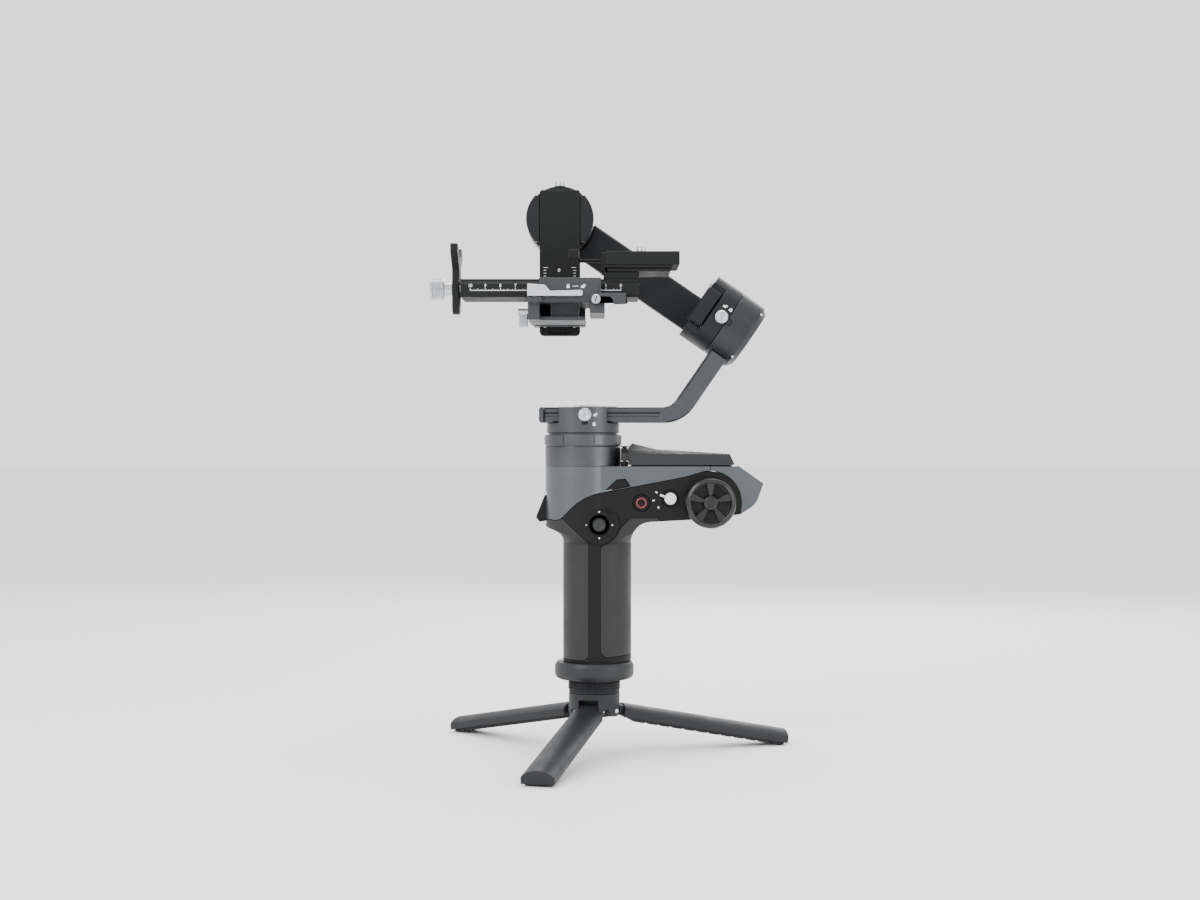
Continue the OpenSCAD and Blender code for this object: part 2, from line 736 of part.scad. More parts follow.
module pan_rotor() color("#5c5e60") translate([pan_x, 0, 0]) {
  difference() {
    union() {
      post(pan_rotor_z0, pan_arm_z0 - slide_gap, rotor_radius);
      intersection() {
        post(pan_rotor_z0, pan_arm_z1, rotor_radius);
        difference() {
          box([-clamp_half, -far, 0], [clamp_half, far, 2 * far]);
          box([-far, -arm_width / 2 - slide_gap, pan_arm_z0 - slide_gap],
              [far, arm_width / 2 + slide_gap, 2 * far]);
        }
      }
    }
    translate([0, 0, arm_mid_z]) box([1.4 - lock_stem - 0.2, -rotor_radius - 1,
        -lock_travel - lock_stem - 0.4],
      [1.4 + lock_stem + 0.2, -rotor_radius + 4, lock_stem + 0.4]);
    translate([-4, rotor_radius - 6, 0]) post(pan_arm_z1 - 6, pan_arm_z1 + 1, 1.5 + pin_gap);
  }
  clamp_rails(-clamp_half, clamp_half, arm_width / 2, arm_mid_z);
  translate([0, 0, pan_z1]) rotor_skirt(pan_radius, pan_height);
  difference() {
    post(pan_z1, pan_rotor_z0 + eps, pan_radius - cup_wall - skirt_gap);
    post(pan_z1 - 1, pan_rotor_z0, pan_radius - cup_wall - skirt_gap - skirt_wall);
  }
}

module pan_shaft() color("silver") translate([pan_x, 0, pan_rotor_z0])
  motor_shaft(pan_height + pan_rotor_z0 - pan_z1);

// Lock knob: cap outside, stem inside, axis along -y
module lock_knob(y_face) {
  rod_y(y_face - 3.2, y_face - 0.3, lock_radius);
  rod_y(y_face - 0.3 - eps, y_face + 3.4, lock_stem);
}

module pan_lock() color("silver") translate([pan_x + 1.4, 0, arm_mid_z]) lock_knob(-rotor_radius);

module pan_clamp_lever() color("silver") translate([pan_x - 4, rotor_radius - 6, pan_arm_z1]) {
  post(-5, 0.4, 1.5);
  post(0.3, 1.9, 3);
  box([0, -2.6, 0.3], [27, 2.6, 1.7]);
}

// ---------- pan arm ----------

bend_radius = 18;
bend_angle = 90 - roll_angle;
bend_tangent = bend_radius * tan(bend_angle / 2);
bend_centre = elbow + [-bend_tangent, bend_radius];
arm_start_x = pan_x - 29.4;

function slope_point(x, z) = roll_origin + x * roll_dir + z * rise_dir;

pan_arm_outline = concat(
  [[arm_start_x, pan_arm_z0]],
  [for (k = [0:12]) bend_centre + (bend_radius + arm_thickness / 2 + (slope_half - arm_thickness / 2) *
      k / 12)
    * [cos(-90 + bend_angle * k / 12), sin(-90 + bend_angle * k / 12)]],
  [slope_point(slope_mid + slope_half, -motor_radius + 5), slope_point(slope_mid - slope_half,
      -motor_radius + 5)],
  [for (k = [12:-1:0]) bend_centre + (bend_radius - arm_thickness / 2 - (slope_half - arm_thickness /
      2) * k / 12)
    * [cos(-90 + bend_angle * k / 12), sin(-90 + bend_angle * k / 12)]],
  [[arm_start_x, pan_arm_z1]]);

module pan_arm() color("#5a5c5e") {
  difference() {
    along_y(-arm_width / 2, arm_width / 2) polygon(pan_arm_outline);
    arm_grooves(arm_start_x - 1, elbow_x - 12, arm_width / 2, arm_mid_z);
    roll_frame() rod_x(-far, far, motor_radius);
  }
  box([arm_start_x, -arm_width / 2 - 2, pan_arm_z0], [arm_start_x + 4, arm_width / 2 + 2, pan_arm_z1]);
}

// ---------- roll motor and arm ----------

module roll_stator() color("#505254") difference() {
  to_roll() intersection() {
    stator_cup(motor_radius, stator_length);
    translate([0, 0, -stator_length]) rotate_extrude($fn = 96) polygon([[0, -1], [motor_radius - 4, 0],
      [motor_radius, 3.5], [motor_radius, far], [0, far]]);
  }
  roll_frame() box([stator_start - 1, -far, -2], [stator_start + 3.5, -motor_radius + 1.6, 2]);
}

module roll_coils() color("peru") to_roll() coil_pack(motor_radius, stator_length);

module roll_rotor() color("#303133") {
  roll_frame() difference() {
    union() {
      rod_x(0, rotor_length, motor_radius);
      intersection() {
        rod_x(-clamp_depth, eps, motor_radius);
        difference() {
          box([-far, -clamp_half, -far], [far, clamp_half, far]);
          box([-far, -far, -arm_width / 2 - slide_gap], [0, far, arm_width / 2 + slide_gap]);
        }
      }
    }
    box([7.1 - lock_stem - 0.3, -far, -lock_stem - 0.2], [far, -motor_radius + 4, lock_stem + 0.2]);
    translate([0, 3, motor_radius - 6.5]) rod_x(-far, -clamp_depth + 6, 1.5 + pin_gap);
  }
  roll_frame() rotate([0, -90, 0]) rotate([0, 0, 90])
    clamp_rails(-clamp_half, clamp_half, arm_width / 2, clamp_depth / 2);
  to_roll() rotor_skirt(motor_radius, stator_length);
  to_roll() difference() {
    post(0, 0.3 + eps, motor_radius - cup_wall - skirt_gap);
    post(-1, 1, motor_radius - cup_wall - skirt_gap - skirt_wall);
  }
}

module roll_shaft() color("silver") to_roll() translate([0, 0, 0.3]) motor_shaft(stator_length + 0.3);

module roll_lock() color("silver") roll_frame() translate([7.1, 0, 0]) {
  rod_y(-motor_radius - 3.2, -motor_radius - 0.3, lock_radius);
  rod_y(-motor_radius - 0.3 - eps, -motor_radius + 1.2, lock_stem);
}

module roll_clamp_lever() color("silver") roll_frame() translate([-clamp_depth, 3, motor_radius - 6.5]) {
  rod_x(-0.4, 5, 1.5);
  rod_x(-1.9, -0.3, 3);
  box([-1.7, -24, -2.6], [-0.3, 0, 2.6]);
}

module roll_arm() color("#4c4e50") {
  roll_frame() difference() {
    union() {
      box([-clamp_depth, roll_near_end, -arm_width / 2], [-slide_gap, bar_y1 - 6, arm_width / 2]);
      box([-roll_reach, bar_y0, -arm_width / 2], [-clamp_depth + eps, bar_y1, arm_width / 2]);
      intersection() {
        box([-clamp_depth, bar_y0, -arm_width / 2], [-slide_gap, bar_y1, arm_width / 2]);
        translate([-slide_gap - 9, bar_y1 - 9, -far]) cylinder(h = 2 * far, r = 9);
      }
    }
    rotate([0, -90, 0]) rotate([0, 0, 90])
      arm_grooves(roll_near_end + 3, bar_y0 - 6, arm_width / 2, clamp_depth / 2);
    translate([-roll_reach, 0, 0]) rod_y(-far, far, motor_radius);
  }
  roll_frame() box([-clamp_depth - 1.6, roll_near_end, -arm_width / 2], [-clamp_depth + eps,
      roll_near_end + 3, arm_width / 2]);
}

// ---------- tilt motor and vertical bar ----------

module tilt_stator() color("#505254") to_tilt() intersection() {
  stator_cup(motor_radius, stator_length);
  translate([0, 0, -stator_length]) rotate_extrude($fn = 96) polygon([[0, 0], [motor_radius - 2.5, 0],
    [motor_radius, 2.5], [motor_radius, far], [0, far]]);
}

module tilt_coils() color("peru") to_tilt() coil_pack(motor_radius, stator_length);

module tilt_rotor() color("#303133") {
  tilt_frame() difference() {
    union() {
      rod_y(tilt_rotor_y0, tilt_rotor_y1, motor_radius);
      intersection() {
        rod_y(vbar_y0, tilt_rotor_y0 + eps, motor_radius);
        difference() {
          box([-far, -far, -clamp_half], [far, far, clamp_half]);
          box([-vbar_half - slide_gap, -far, -far], [vbar_half + slide_gap, tilt_rotor_y0, far]);
        }
      }
    }
    box([-lock_stem - 0.2, tilt_rotor_y0 + 2, motor_radius - 4], [lock_stem + 0.2, far, far]);
  }
  tilt_frame() rotate([90, 0, 0]) rotate([0, 0, 90])
    clamp_rails(-clamp_half, clamp_half, vbar_half, -(vbar_y0 + vbar_y1) / 2);
  to_tilt() rotor_skirt(motor_radius, stator_length);
  to_tilt() difference() {
    post(0, 0.3 + eps, motor_radius - cup_wall - skirt_gap);
    post(-1, 1, motor_radius - cup_wall - skirt_gap - skirt_wall);
  }
}

module tilt_shaft() color("silver") to_tilt() translate([0, 0, 0.3]) motor_shaft(stator_length + 0.3);

module tilt_lock() color("silver") tilt_frame() translate([0, tilt_rotor_y0 + 4.6, 0]) {
  post(motor_radius + 0.3, motor_radius + 3.2, lock_radius - 0.5);
  post(motor_radius - 1.2, motor_radius + 0.3 + eps, lock_stem);
}

module vertical_bar() color("#2e2f30") difference() {
  translate([tilt_pos[0], 0, 0]) along_y(vbar_y0, vbar_y1) polygon(rounded([
    [-vbar_half, vbar_z0], [vbar_half, vbar_z0], [vbar_half, vbar_z1], [-vbar_half, vbar_z1]], [3, 3,
        2, 2]));
  translate([tilt_pos[0], (vbar_y0 + vbar_y1) / 2, 0]) for (side = [-1,
      1]) translate([side * vbar_half, 0, 0])
    box([-groove_depth, -groove_half, vbar_z0 - 1], [groove_depth, groove_half, vbar_z1 + 1]);
  translate([tilt_pos[0], 0, vbar_z0]) box([-7.5, vbar_y0 - 1, 1.6], [7.5, vbar_y0 + 0.8, 8.6]);
}

// ---------- clamp base and plates ----------

base_neck = 5;
jaw_half = vbar_half + slide_gap + 3.6;
jaw_z0 = base_z0 - 11.2;

// Section of the slide plate, grown by d: a full-width band with a narrower step above it
module plate_section(d) polygon([[-plate_half - d + 1.8, -plate_thickness - d], [plate_half + d - 1.8,
    -plate_thickness - d],
  [plate_half + d, -plate_thickness + 2], [plate_half + d, -step_drop], [plate_half + d - dovetail,
      dovetail - step_drop],
  [plate_half + d - dovetail, d], [-plate_half - d + dovetail, d], [-plate_half - d + dovetail,
      dovetail - step_drop],
  [-plate_half - d, -step_drop], [-plate_half - d, -plate_thickness + 2]]);

module plate_prism(x0, x1, d) translate([x0, 0, plate_z1]) rotate([90, 0,
    90]) linear_extrude(x1 - x0) plate_section(d);

// Body under the plate: cheek on the left, column on the right, a block between them and a jaw at the far end
module clamp_base() color("#5a5c5f") difference() {
  union() {
    box([base_x0 + 7.4, -base_half, base_z0], [base_x1, base_half, plate_z1 + slide_gap]);
    box([base_x0, -base_half - 3.4, base_z0], [base_x0 + 9.5, base_half, base_z1]);
    box([base_x0, -base_half + 3, base_z0 - 11.3], [base_x0 + 7.8, base_half, base_z0 + eps]);
    box([base_x1 - 7.6, -base_half + 1, base_z0 - 7.1], [base_x1 + 2.4, base_half, base_z0 + eps]);
    box([tilt_pos[0] - 5.2, -base_half + 16, base_z0 - 9.1], [tilt_pos[0] + 14, base_half, base_z0 + eps]);
    box([base_x0 + 7.8 - eps, -base_half + 10, base_z0 - 11.3], [base_x0 + 38, base_half, base_z0 - 8.6]);
    box([tilt_pos[0] - jaw_half, base_half - eps, jaw_z0], [tilt_pos[0] + jaw_half, vbar_y1, base_z1]);
  }
  plate_prism(-far, far, slide_gap);
  box([tilt_pos[0] - vbar_half - slide_gap, vbar_y0 - slide_gap, 0],
      [tilt_pos[0] + vbar_half + slide_gap, far, 2 * far]);
  translate([0, height_lever_y, height_lever_z]) rod_x(-far, tilt_pos[0] - vbar_half + 8, 2 + pin_gap);
  translate([qr_pivot[0], qr_pivot[1], 0]) post(base_z0 - 1, 2 * far, 1.6 + pin_gap);
  on_panel(latch_pivot) rod_y(-far, -base_half + 5, latch_pin + pin_gap);
}

height_lever_y = 40;
height_lever_z = base_z1 - 4.2;

module height_lever() color("silver") translate([0, height_lever_y, height_lever_z]) {
  rod_x(tilt_pos[0] - jaw_half - 3, tilt_pos[0] - vbar_half + 6, 2);
  rod_x(tilt_pos[0] - jaw_half - 11, tilt_pos[0] - jaw_half - 3 + eps, 3.2);
  box([tilt_pos[0] - jaw_half - 10, -2.2, -11.5], [tilt_pos[0] - jaw_half - 4, 2.2, 0]);
}

// Silver lever that opens the plate clamp, turning about an upright pin in the base's near corner
qr_pivot = [base_x0 + 5, -base_half - 0.6];
qr_z0 = base_z1 + 0.3;

module qr_lever() color("silver") translate([qr_pivot[0], qr_pivot[1], 0]) {
  post(base_z0, qr_z0 + 1, 1.6);
  box([-5, -2.4, qr_z0], [2.8, 0.4, qr_z0 + 7.6]);
  along_y(-4.6, -0.4) polygon(rounded([[-5, qr_z0], [31.5, qr_z0], [31.5, qr_z0 + 3.8], [10, qr_z0 + 3.2],
    [6.4, qr_z0 + 7.2], [-5, qr_z0 + 8]], [0.6, 1.6, 1.6, 1.5, 1, 0.6]));
}

// Safety latch on the base's near face, turning about a pin along y
latch_pivot = [base_x1 - 3.4, base_z0 + 1.9];
latch_pin = 1.4;

module safety_latch() color("gray") on_panel(latch_pivot) {
  rod_y(-base_half - 2.6, -base_half + 4, latch_pin);
  along_y(-base_half - 2.4, -base_half - 0.3) polygon(rounded([[-3.2, -3.4], [3, -3.4], [5.4, 0.6],
      [9.6, 1.4],
    [11.6, -3.2], [19.8, -3.2], [19.8, 4.1], [-3.2, 4.1]], [2, 2, 1.5, 2.5, 0.5, 0.5, 0.5, 1]));
  box([12.2, -base_half - 2.4 + 0.4, -3], [19.4, -plate_half - 1.2, 3.9]);
}

module slide_plate() color("#242526") difference() {
  plate_prism(plate_x0, plate_x1, 0);
  for (x = [plate_x0 + 24:24:plate_x1 - 40]) box([x, -5, plate_z1 - 3], [x + 16, 5, plate_z1 + 1]);
  translate([0, 0, knob_z]) rod_x(plate_x0 - 1, plate_x0 + 10, 2.5 + pin_gap);
}

module riser_plate() color("#1f2021") {
  box([camera_x0 - 1.6, -plate_half + 3, plate_z1], [plate_x1, plate_half - 3, plate_z1 + 5]);
  box([camera_x0 + 1, -plate_half + 1, plate_z1 + 5 - eps], [camera_x1 - 6, plate_half - 1,
      riser_z1 - 2.4]);
  box([camera_x0 + 3, -11, riser_z1 - 2.4 - eps], [camera_x1 - 8, 11, riser_z1]);
}

module camera_plate() color("#3a3b3c") difference() {
  union() {
    box([camera_x0, -plate_half, riser_z1], [camera_x1, plate_half, camera_z1]);
    for (side = [-1, 1]) box([camera_x0, side * 16.5 - 4.5, riser_z1 - 2], [camera_x1 - 5,
        side * 16.5 + 4.5, riser_z1 + eps]);
    box([camera_x0 - 3, -14, riser_z1 - 4], [camera_x0 + eps, 14, camera_z1]);
    box([camera_x0 - 18.6, -2.5, camera_z1 - 5.4], [camera_x0, 2.5, camera_z1 - 3.4]);
    translate([camera_x0 - 21.6, 0, 0]) box([-3.4, -8, camera_z1 - 4], [3.4, 8, camera_z1 + 2.8]);
  }
  translate([camera_mid_x, 0, 0]) post(0, 2 * far, camera_screw_radius + 0.3);
  translate([camera_mid_x, 0, 0]) post(riser_z1 - 1, riser_z1 + 4.4, 8.4);
}

camera_screw_radius = camera_screw_diameter / 2;

module camera_screw() color("silver") translate([camera_mid_x, 0, 0]) {
  post(riser_z1 + 0.6, riser_z1 + 4, 8);
  post(riser_z1 + 4 - eps, camera_z1 + eps, camera_screw_radius - 0.3);
  post(camera_z1, camera_z1 + 5, camera_screw_radius);
}

module lens_bracket() color("#3a3b39") difference() {
  union() {
    translate([bracket_x1 - bracket_thickness, 0, 0]) rotate([90, 0, 90]) linear_extrude(bracket_thickness)
      polygon(rounded([[-8, bracket_z0], [8, bracket_z0], [8, bracket_z1 - 16], [24, bracket_z1 - 6],
        [24, bracket_z1], [14, bracket_z1], [0, bracket_z1 - 10], [-14, bracket_z1], [-24, bracket_z1],
        [-24, bracket_z1 - 6], [-8, bracket_z1 - 16]], [6, 6, 3, 3, 2, 2, 12, 2, 2, 3, 3]));
  }
  box([-far, -2.8, bracket_z0 + 6], [far, 2.8, bracket_z0 + 30]);
}

module lens_knob() color("silver") translate([0, 0, knob_z]) {
  rod_x(bracket_x1 - bracket_thickness - 1, plate_x0 + 9, 2.5);
  rod_x(bracket_x1 - bracket_thickness - 5.6, bracket_x1 - bracket_thickness - 0.4, 4.8);
  rod_x(bracket_x1 - bracket_thickness - 15, bracket_x1 - bracket_thickness - 5.5, 7.2);
}

tripod_hub();
tripod_ring();
tripod_fasteners();
tripod_leg_1();
tripod_leg_2();
tripod_leg_3();
leg_pad_1();
leg_pad_2();
leg_pad_3();
base_collar();
grip_core();
grip_front_pad();
grip_rear_pad();
battery_cells();
main_board();
shell_near();
shell_far();
tail_cap();
control_panel();
far_panel();
joystick_cradle();
joystick_stick();
power_button();
record_button();
mode_dial();
control_wheel();
trigger();
screen_hinge();
screen_case();
screen_glass();
pan_stator();
pan_coils();
pan_rotor();
pan_shaft();
pan_lock();
pan_clamp_lever();
pan_arm();
roll_stator();
roll_coils();
roll_rotor();
roll_shaft();
roll_lock();
roll_clamp_lever();
roll_arm();
tilt_stator();
tilt_coils();
tilt_rotor();
tilt_shaft();
tilt_lock();
vertical_bar();
clamp_base();
height_lever();
qr_lever();
safety_latch();
slide_plate();
riser_plate();
camera_plate();
camera_screw();
lens_bracket();
lens_knob();
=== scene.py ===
"""Looks of a three-axis handheld camera stabilizer on its folding tripod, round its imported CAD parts."""

import json
from math import cos, pi, radians, sin, sqrt

import bpy
from mathutils import Euler, Matrix, Vector


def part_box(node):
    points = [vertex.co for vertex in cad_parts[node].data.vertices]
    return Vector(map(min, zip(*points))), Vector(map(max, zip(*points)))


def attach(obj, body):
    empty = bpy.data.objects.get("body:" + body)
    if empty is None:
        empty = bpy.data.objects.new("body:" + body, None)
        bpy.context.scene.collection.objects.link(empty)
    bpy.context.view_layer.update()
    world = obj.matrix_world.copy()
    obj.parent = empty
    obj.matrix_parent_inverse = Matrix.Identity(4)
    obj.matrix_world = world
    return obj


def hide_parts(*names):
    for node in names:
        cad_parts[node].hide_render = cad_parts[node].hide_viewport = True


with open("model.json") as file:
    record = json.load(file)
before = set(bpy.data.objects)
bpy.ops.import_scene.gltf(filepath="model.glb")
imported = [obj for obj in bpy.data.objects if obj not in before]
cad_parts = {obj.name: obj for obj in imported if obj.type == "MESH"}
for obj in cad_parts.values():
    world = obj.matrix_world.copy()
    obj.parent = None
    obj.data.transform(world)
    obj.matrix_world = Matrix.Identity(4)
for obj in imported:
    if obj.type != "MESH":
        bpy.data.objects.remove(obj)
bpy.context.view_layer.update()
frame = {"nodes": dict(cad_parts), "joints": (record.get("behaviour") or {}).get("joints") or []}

MM = 0.001
pivots = {j["name"]: Vector(j["pos_m"]) / MM for j in frame["joints"] if "pos_m" in j}


def low(node):
    """Lowest corner of a CAD part, in millimetres."""
    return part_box(node)[0] / MM


def high(node):
    """Highest corner of a CAD part, in millimetres."""
    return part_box(node)[1] / MM


# ---------------------------------------------------------------- finishes


def linear(code):
    """A hex sRGB colour as linear red, green, blue and alpha."""
    parts = [int(code[i : i + 2], 16) / 255 for i in (1, 3, 5)]
    return [c / 12.92 if c <= 0.04045 else ((c + 0.055) / 1.055) ** 2.4 for c in parts] + [1]


def add(tree, kind, inputs=None, **settings):
    """Adds a node. A socket among its inputs is linked, and anything else is set."""
    made = tree.nodes.new("ShaderNode" + kind)
    for key, value in settings.items():
        setattr(made, key, value)
    for key, value in (inputs or {}).items():
        if isinstance(value, bpy.types.NodeSocket):
            tree.links.new(value, made.inputs[key])
        else:
            made.inputs[key].default_value = value
    return made


def surface(name, colour, roughness, grain, depth, tone=0.12, patch=14, metallic=0.0, stretch=(1, 1, 1),
            turn=(0, 0, 0), pebbled=False, coat=0.0, gloss_spread=0.07, specular=0.5, flake=None):
    """A procedural finish. Grain is its texture's size and depth that texture's relief, in millimetres."""
    made = bpy.data.materials.new(name)
    made.use_nodes = True
    tree = made.node_tree
    shader = tree.nodes["Principled BSDF"]
    shader.inputs["Metallic"].default_value = metallic
    shader.inputs["Coat Weight"].default_value = coat
    shader.inputs["Coat Roughness"].default_value = 0.18
    shader.inputs["Specular IOR Level"].default_value = specular
    place = add(tree, "TexCoord").outputs["Object"]
    aligned = add(tree, "Mapping", {"Vector": place, "Rotation": turn, "Scale": stretch}).outputs["Vector"]
    if pebbled:
        fine = add(tree, "TexVoronoi", {"Vector": aligned, "Scale": 1000 / grain, "Randomness": 0.9},
                   feature="SMOOTH_F1").outputs["Distance"]
    else:
        fine = add(tree, "TexNoise", {"Vector": aligned, "Scale": 1000 / grain, "Detail": 3.0,
                                      "Roughness": 0.6}).outputs["Fac"]
    broad = add(tree, "TexNoise", {"Vector": place, "Scale": 1000 / patch, "Detail": 4.0}).outputs["Fac"]
    base = linear(colour)
    dark = [c * (1 - tone) for c in base[:3]] + [1]
    light = [min(1, c * (1 + tone)) for c in base[:3]] + [1]
    shade = add(tree, "Mix", {"Factor": broad}, data_type="RGBA")
    # a Mix node's two colour inputs come after its number and vector sockets
    first, second, mixed = 6, 7, 2
    shade.inputs[first].default_value, shade.inputs[second].default_value = dark, light
    worn = add(tree, "Mix", {"Factor": fine}, data_type="RGBA", blend_type="MULTIPLY")
    tree.links.new(shade.outputs[mixed], worn.inputs[first])
    speck = flake or tone / 2
    spread = add(tree, "MapRange", {"Value": fine, "From Min": 0.3, "From Max": 0.7, "To Min": 1 - speck,
                                    "To Max": 1 + speck})
    tree.links.new(spread.outputs["Result"], worn.inputs[second])
    tree.links.new(worn.outputs[mixed], shader.inputs["Base Color"])
    gloss = add(tree, "MapRange", {"Value": broad, "From Min": 0.3, "From Max": 0.7,
                                   "To Min": roughness - gloss_spread, "To Max": roughness + gloss_spread})
    tree.links.new(gloss.outputs["Result"], shader.inputs["Roughness"])
    bump = add(tree, "Bump", {"Height": fine, "Distance": depth * MM, "Strength": 1.0})
    tree.links.new(bump.outputs["Normal"], shader.inputs["Normal"])
    return made


# the roll axis runs down to the right at this angle
roll_tilt = (0, -radians(34.5), 0)

# Bead-blasted aluminium, anodised dark grey: a soft satin sheen with a very fine sparkle
anodised_grey = surface("anodised_aluminium_grey", "#45474A", 0.42, 0.5, 0.003, metallic=0.85, flake=0.05)
# The same blasting under a darker anodising, on the rotors and arms
anodised_dark = surface("anodised_aluminium_dark", "#1E1F21", 0.46, 0.5, 0.003, metallic=0.6, specular=0.35,
                        flake=0.05)
# Turned aluminium, anodised grey: faint rings round the axis that stretch the highlight upwards
turned_grey = surface("turned_aluminium_grey", "#4B4C4F", 0.34, 2.2, 0.003, metallic=0.85, stretch=(1, 1, 14))
# Turned and anodised nearly black, with rings round the roll axis
turned_roll = surface("turned_aluminium_black_roll", "#303234", 0.38, 2.2, 0.002, metallic=0.75,
                      stretch=(14, 1, 1), turn=roll_tilt)
# Turned and anodised nearly black, with rings round the tilt axis
turned_tilt = surface("turned_aluminium_black_tilt", "#2A2C2E", 0.38, 2.2, 0.002, metallic=0.75,
                      stretch=(1, 14, 1))
# Milled aluminium, anodised black: even, rather matt, slightly brown where it is worn
anodised_black = surface("anodised_aluminium_black", "#141515", 0.6, 0.45, 0.008, metallic=0.1, specular=0.18,
                         flake=0.08)
# Milled aluminium, anodised titanium grey, on the plate clamp
anodised_titanium = surface("anodised_aluminium_titanium", "#37393B", 0.54, 0.5, 0.008, metallic=0.35,
                            specular=0.3, flake=0.05)
# Metallic grey lacquer over a moulded shell: smooth, with small flakes and a soft clear coat
metallic_lacquer = surface("metallic_grey_lacquer", "#484C4F", 0.38, 0.35, 0.004, tone=0.04, metallic=0.55,
                           coat=0.25, flake=0.09, gloss_spread=0.03)
# Nylon moulding with a spark-eroded texture: black, matt, with a faint warm cast
eroded_nylon = surface("spark_eroded_nylon", "#100F0F", 0.52, 0.55, 0.03, tone=0.1, specular=0.16)
# Moulded ABS for the grip's spine, collar and screen case: dark grey and a little smoother
moulded_abs = surface("moulded_abs", "#222324", 0.46, 0.6, 0.022, tone=0.08, specular=0.28)
# Silicone rubber with a leather-like pebble: soft sheen broken up by small cells
pebbled_rubber = surface("pebbled_rubber", "#1F1F20", 0.54, 0.9, 0.05, tone=0.08, specular=0.28, pebbled=True,
                         flake=0.06)
# Rubber of the tripod feet and plate pads: darker and dull
plain_rubber = surface("plain_rubber", "#121213", 0.75, 0.7, 0.03, tone=0.12)
# Die-cast alloy with a satin powder coat: fine orange peel under a dark grey
powder_coat = surface("powder_coated_alloy", "#242527", 0.5, 0.8, 0.02, tone=0.07, metallic=0.12,
                      specular=0.22, flake=0.05)
# Steel, turned and plated with satin nickel: bright, with streaks from the tool
satin_nickel = surface("satin_nickel", "#B9BBBE", 0.27, 1.4, 0.008, tone=0.06, metallic=1.0, flake=0.04)
# Cast zinc with a pearl nickel plate, on the quick release lever: paler and duller than the knobs
pearl_nickel = surface("pearl_nickel", "#C9CBCF", 0.38, 0.6, 0.01, tone=0.05, metallic=0.9, flake=0.03)
# Gloss black lacquer on the wheel: deep, with clear highlights
gloss_black = surface("gloss_black_abs", "#0D0D0E", 0.24, 1.2, 0.006, tone=0.1, coat=0.2, specular=0.35,
                      gloss_spread=0.05)
# Painted knob, off-white with a metallic cast
silver_paint = surface("silver_white_paint", "#CFD1D3", 0.34, 0.5, 0.006, tone=0.03, metallic=0.2, coat=0.2)
# Screen-printed white ink: flat and very slightly uneven
white_ink = surface("white_ink", "#DEDFE0", 0.6, 0.3, 0.002, tone=0.04)
# Red ring in the record button: translucent acrylic, seen unlit
red_acrylic = surface("red_acrylic", "#6A2528", 0.3, 0.8, 0.004, tone=0.1)
# Cover glass of the flip-out screen: black, mirror smooth
cover_glass = surface("cover_glass", "#0B0C0E", 0.07, 2.0, 0.0005, tone=0.1, coat=0.6, gloss_spread=0.02)
# Enamelled copper wire of the motor coils, wound in close turns
enamelled_copper = surface("enamelled_copper", "#A5632F", 0.32, 0.8, 0.08, tone=0.15, metallic=0.9,
                           stretch=(1, 1, 4))
# Ground steel of the motor shafts
ground_steel = surface("ground_steel", "#9B9DA1", 0.22, 1.0, 0.004, tone=0.05, metallic=1.0,
                       stretch=(1, 1, 6))
# Blue shrink wrap on the battery cells
shrink_wrap = surface("shrink_wrap", "#2F58A2", 0.3, 2.5, 0.02, tone=0.06)
# Green solder mask on the circuit board
solder_mask = surface("solder_mask", "#1E5230", 0.35, 1.8, 0.03, tone=0.15)

# ---------------------------------------------------------------- modelling helpers


def only(piece):
    """Leaves one piece selected and active."""
    bpy.ops.object.select_all(action="DESELECT")
    bpy.context.view_layer.objects.active = piece
    piece.select_set(True)


def settle(piece):
    """Moves a piece's place, turn and size into its mesh."""
    only(piece)
    bpy.ops.object.transform_apply(location=True, rotation=True, scale=True)


def pick(piece, test):
    """Selects the faces that pass the test, by middle and normal, and opens the piece for editing."""
    only(piece)
    bpy.ops.object.mode_set(mode="EDIT")
    bpy.ops.mesh.select_mode(type="FACE")
    bpy.ops.mesh.select_all(action="DESELECT")
    bpy.ops.object.mode_set(mode="OBJECT")
    for face in piece.data.polygons:
        face.select = test(face.center / MM, face.normal)
    bpy.ops.object.mode_set(mode="EDIT")


def close(piece, merge):
    """Merges points closer than that many millimetres and turns the normals outwards."""
    only(piece)
    bpy.ops.object.mode_set(mode="EDIT")
    bpy.ops.mesh.select_mode(type="VERT")
    bpy.ops.mesh.select_all(action="SELECT")
    bpy.ops.mesh.remove_doubles(threshold=merge * MM)
    bpy.ops.mesh.normals_make_consistent(inside=False)
    bpy.ops.object.mode_set(mode="OBJECT")


def soften(piece, width, segments=2, angle=32, clamp=False):
    """Bevels the sharp edges by a width in millimetres, or not at all for 0, and shades the rest smooth."""
    only(piece)
    if width:
        bpy.ops.object.modifier_add(type="BEVEL")
        bevel = piece.modifiers[-1]
        bevel.width = width * MM
        bevel.segments = segments
        bevel.limit_method = "ANGLE"
        bevel.angle_limit = radians(angle)
        bevel.use_clamp_overlap = clamp
        bevel.miter_outer = "MITER_ARC"
        bpy.ops.object.modifier_apply(modifier=bevel.name)
    # a bevel's own steps are shallower than this, so they shade as one curve
    smooth = angle + 14 if width else angle
    bpy.ops.object.shade_smooth_by_angle(angle=radians(smooth))
    bpy.ops.object.modifier_add(type="WEIGHTED_NORMAL")
    weighted = piece.modifiers[-1]
    weighted.keep_sharp = True
    bpy.ops.object.modifier_apply(modifier=weighted.name)


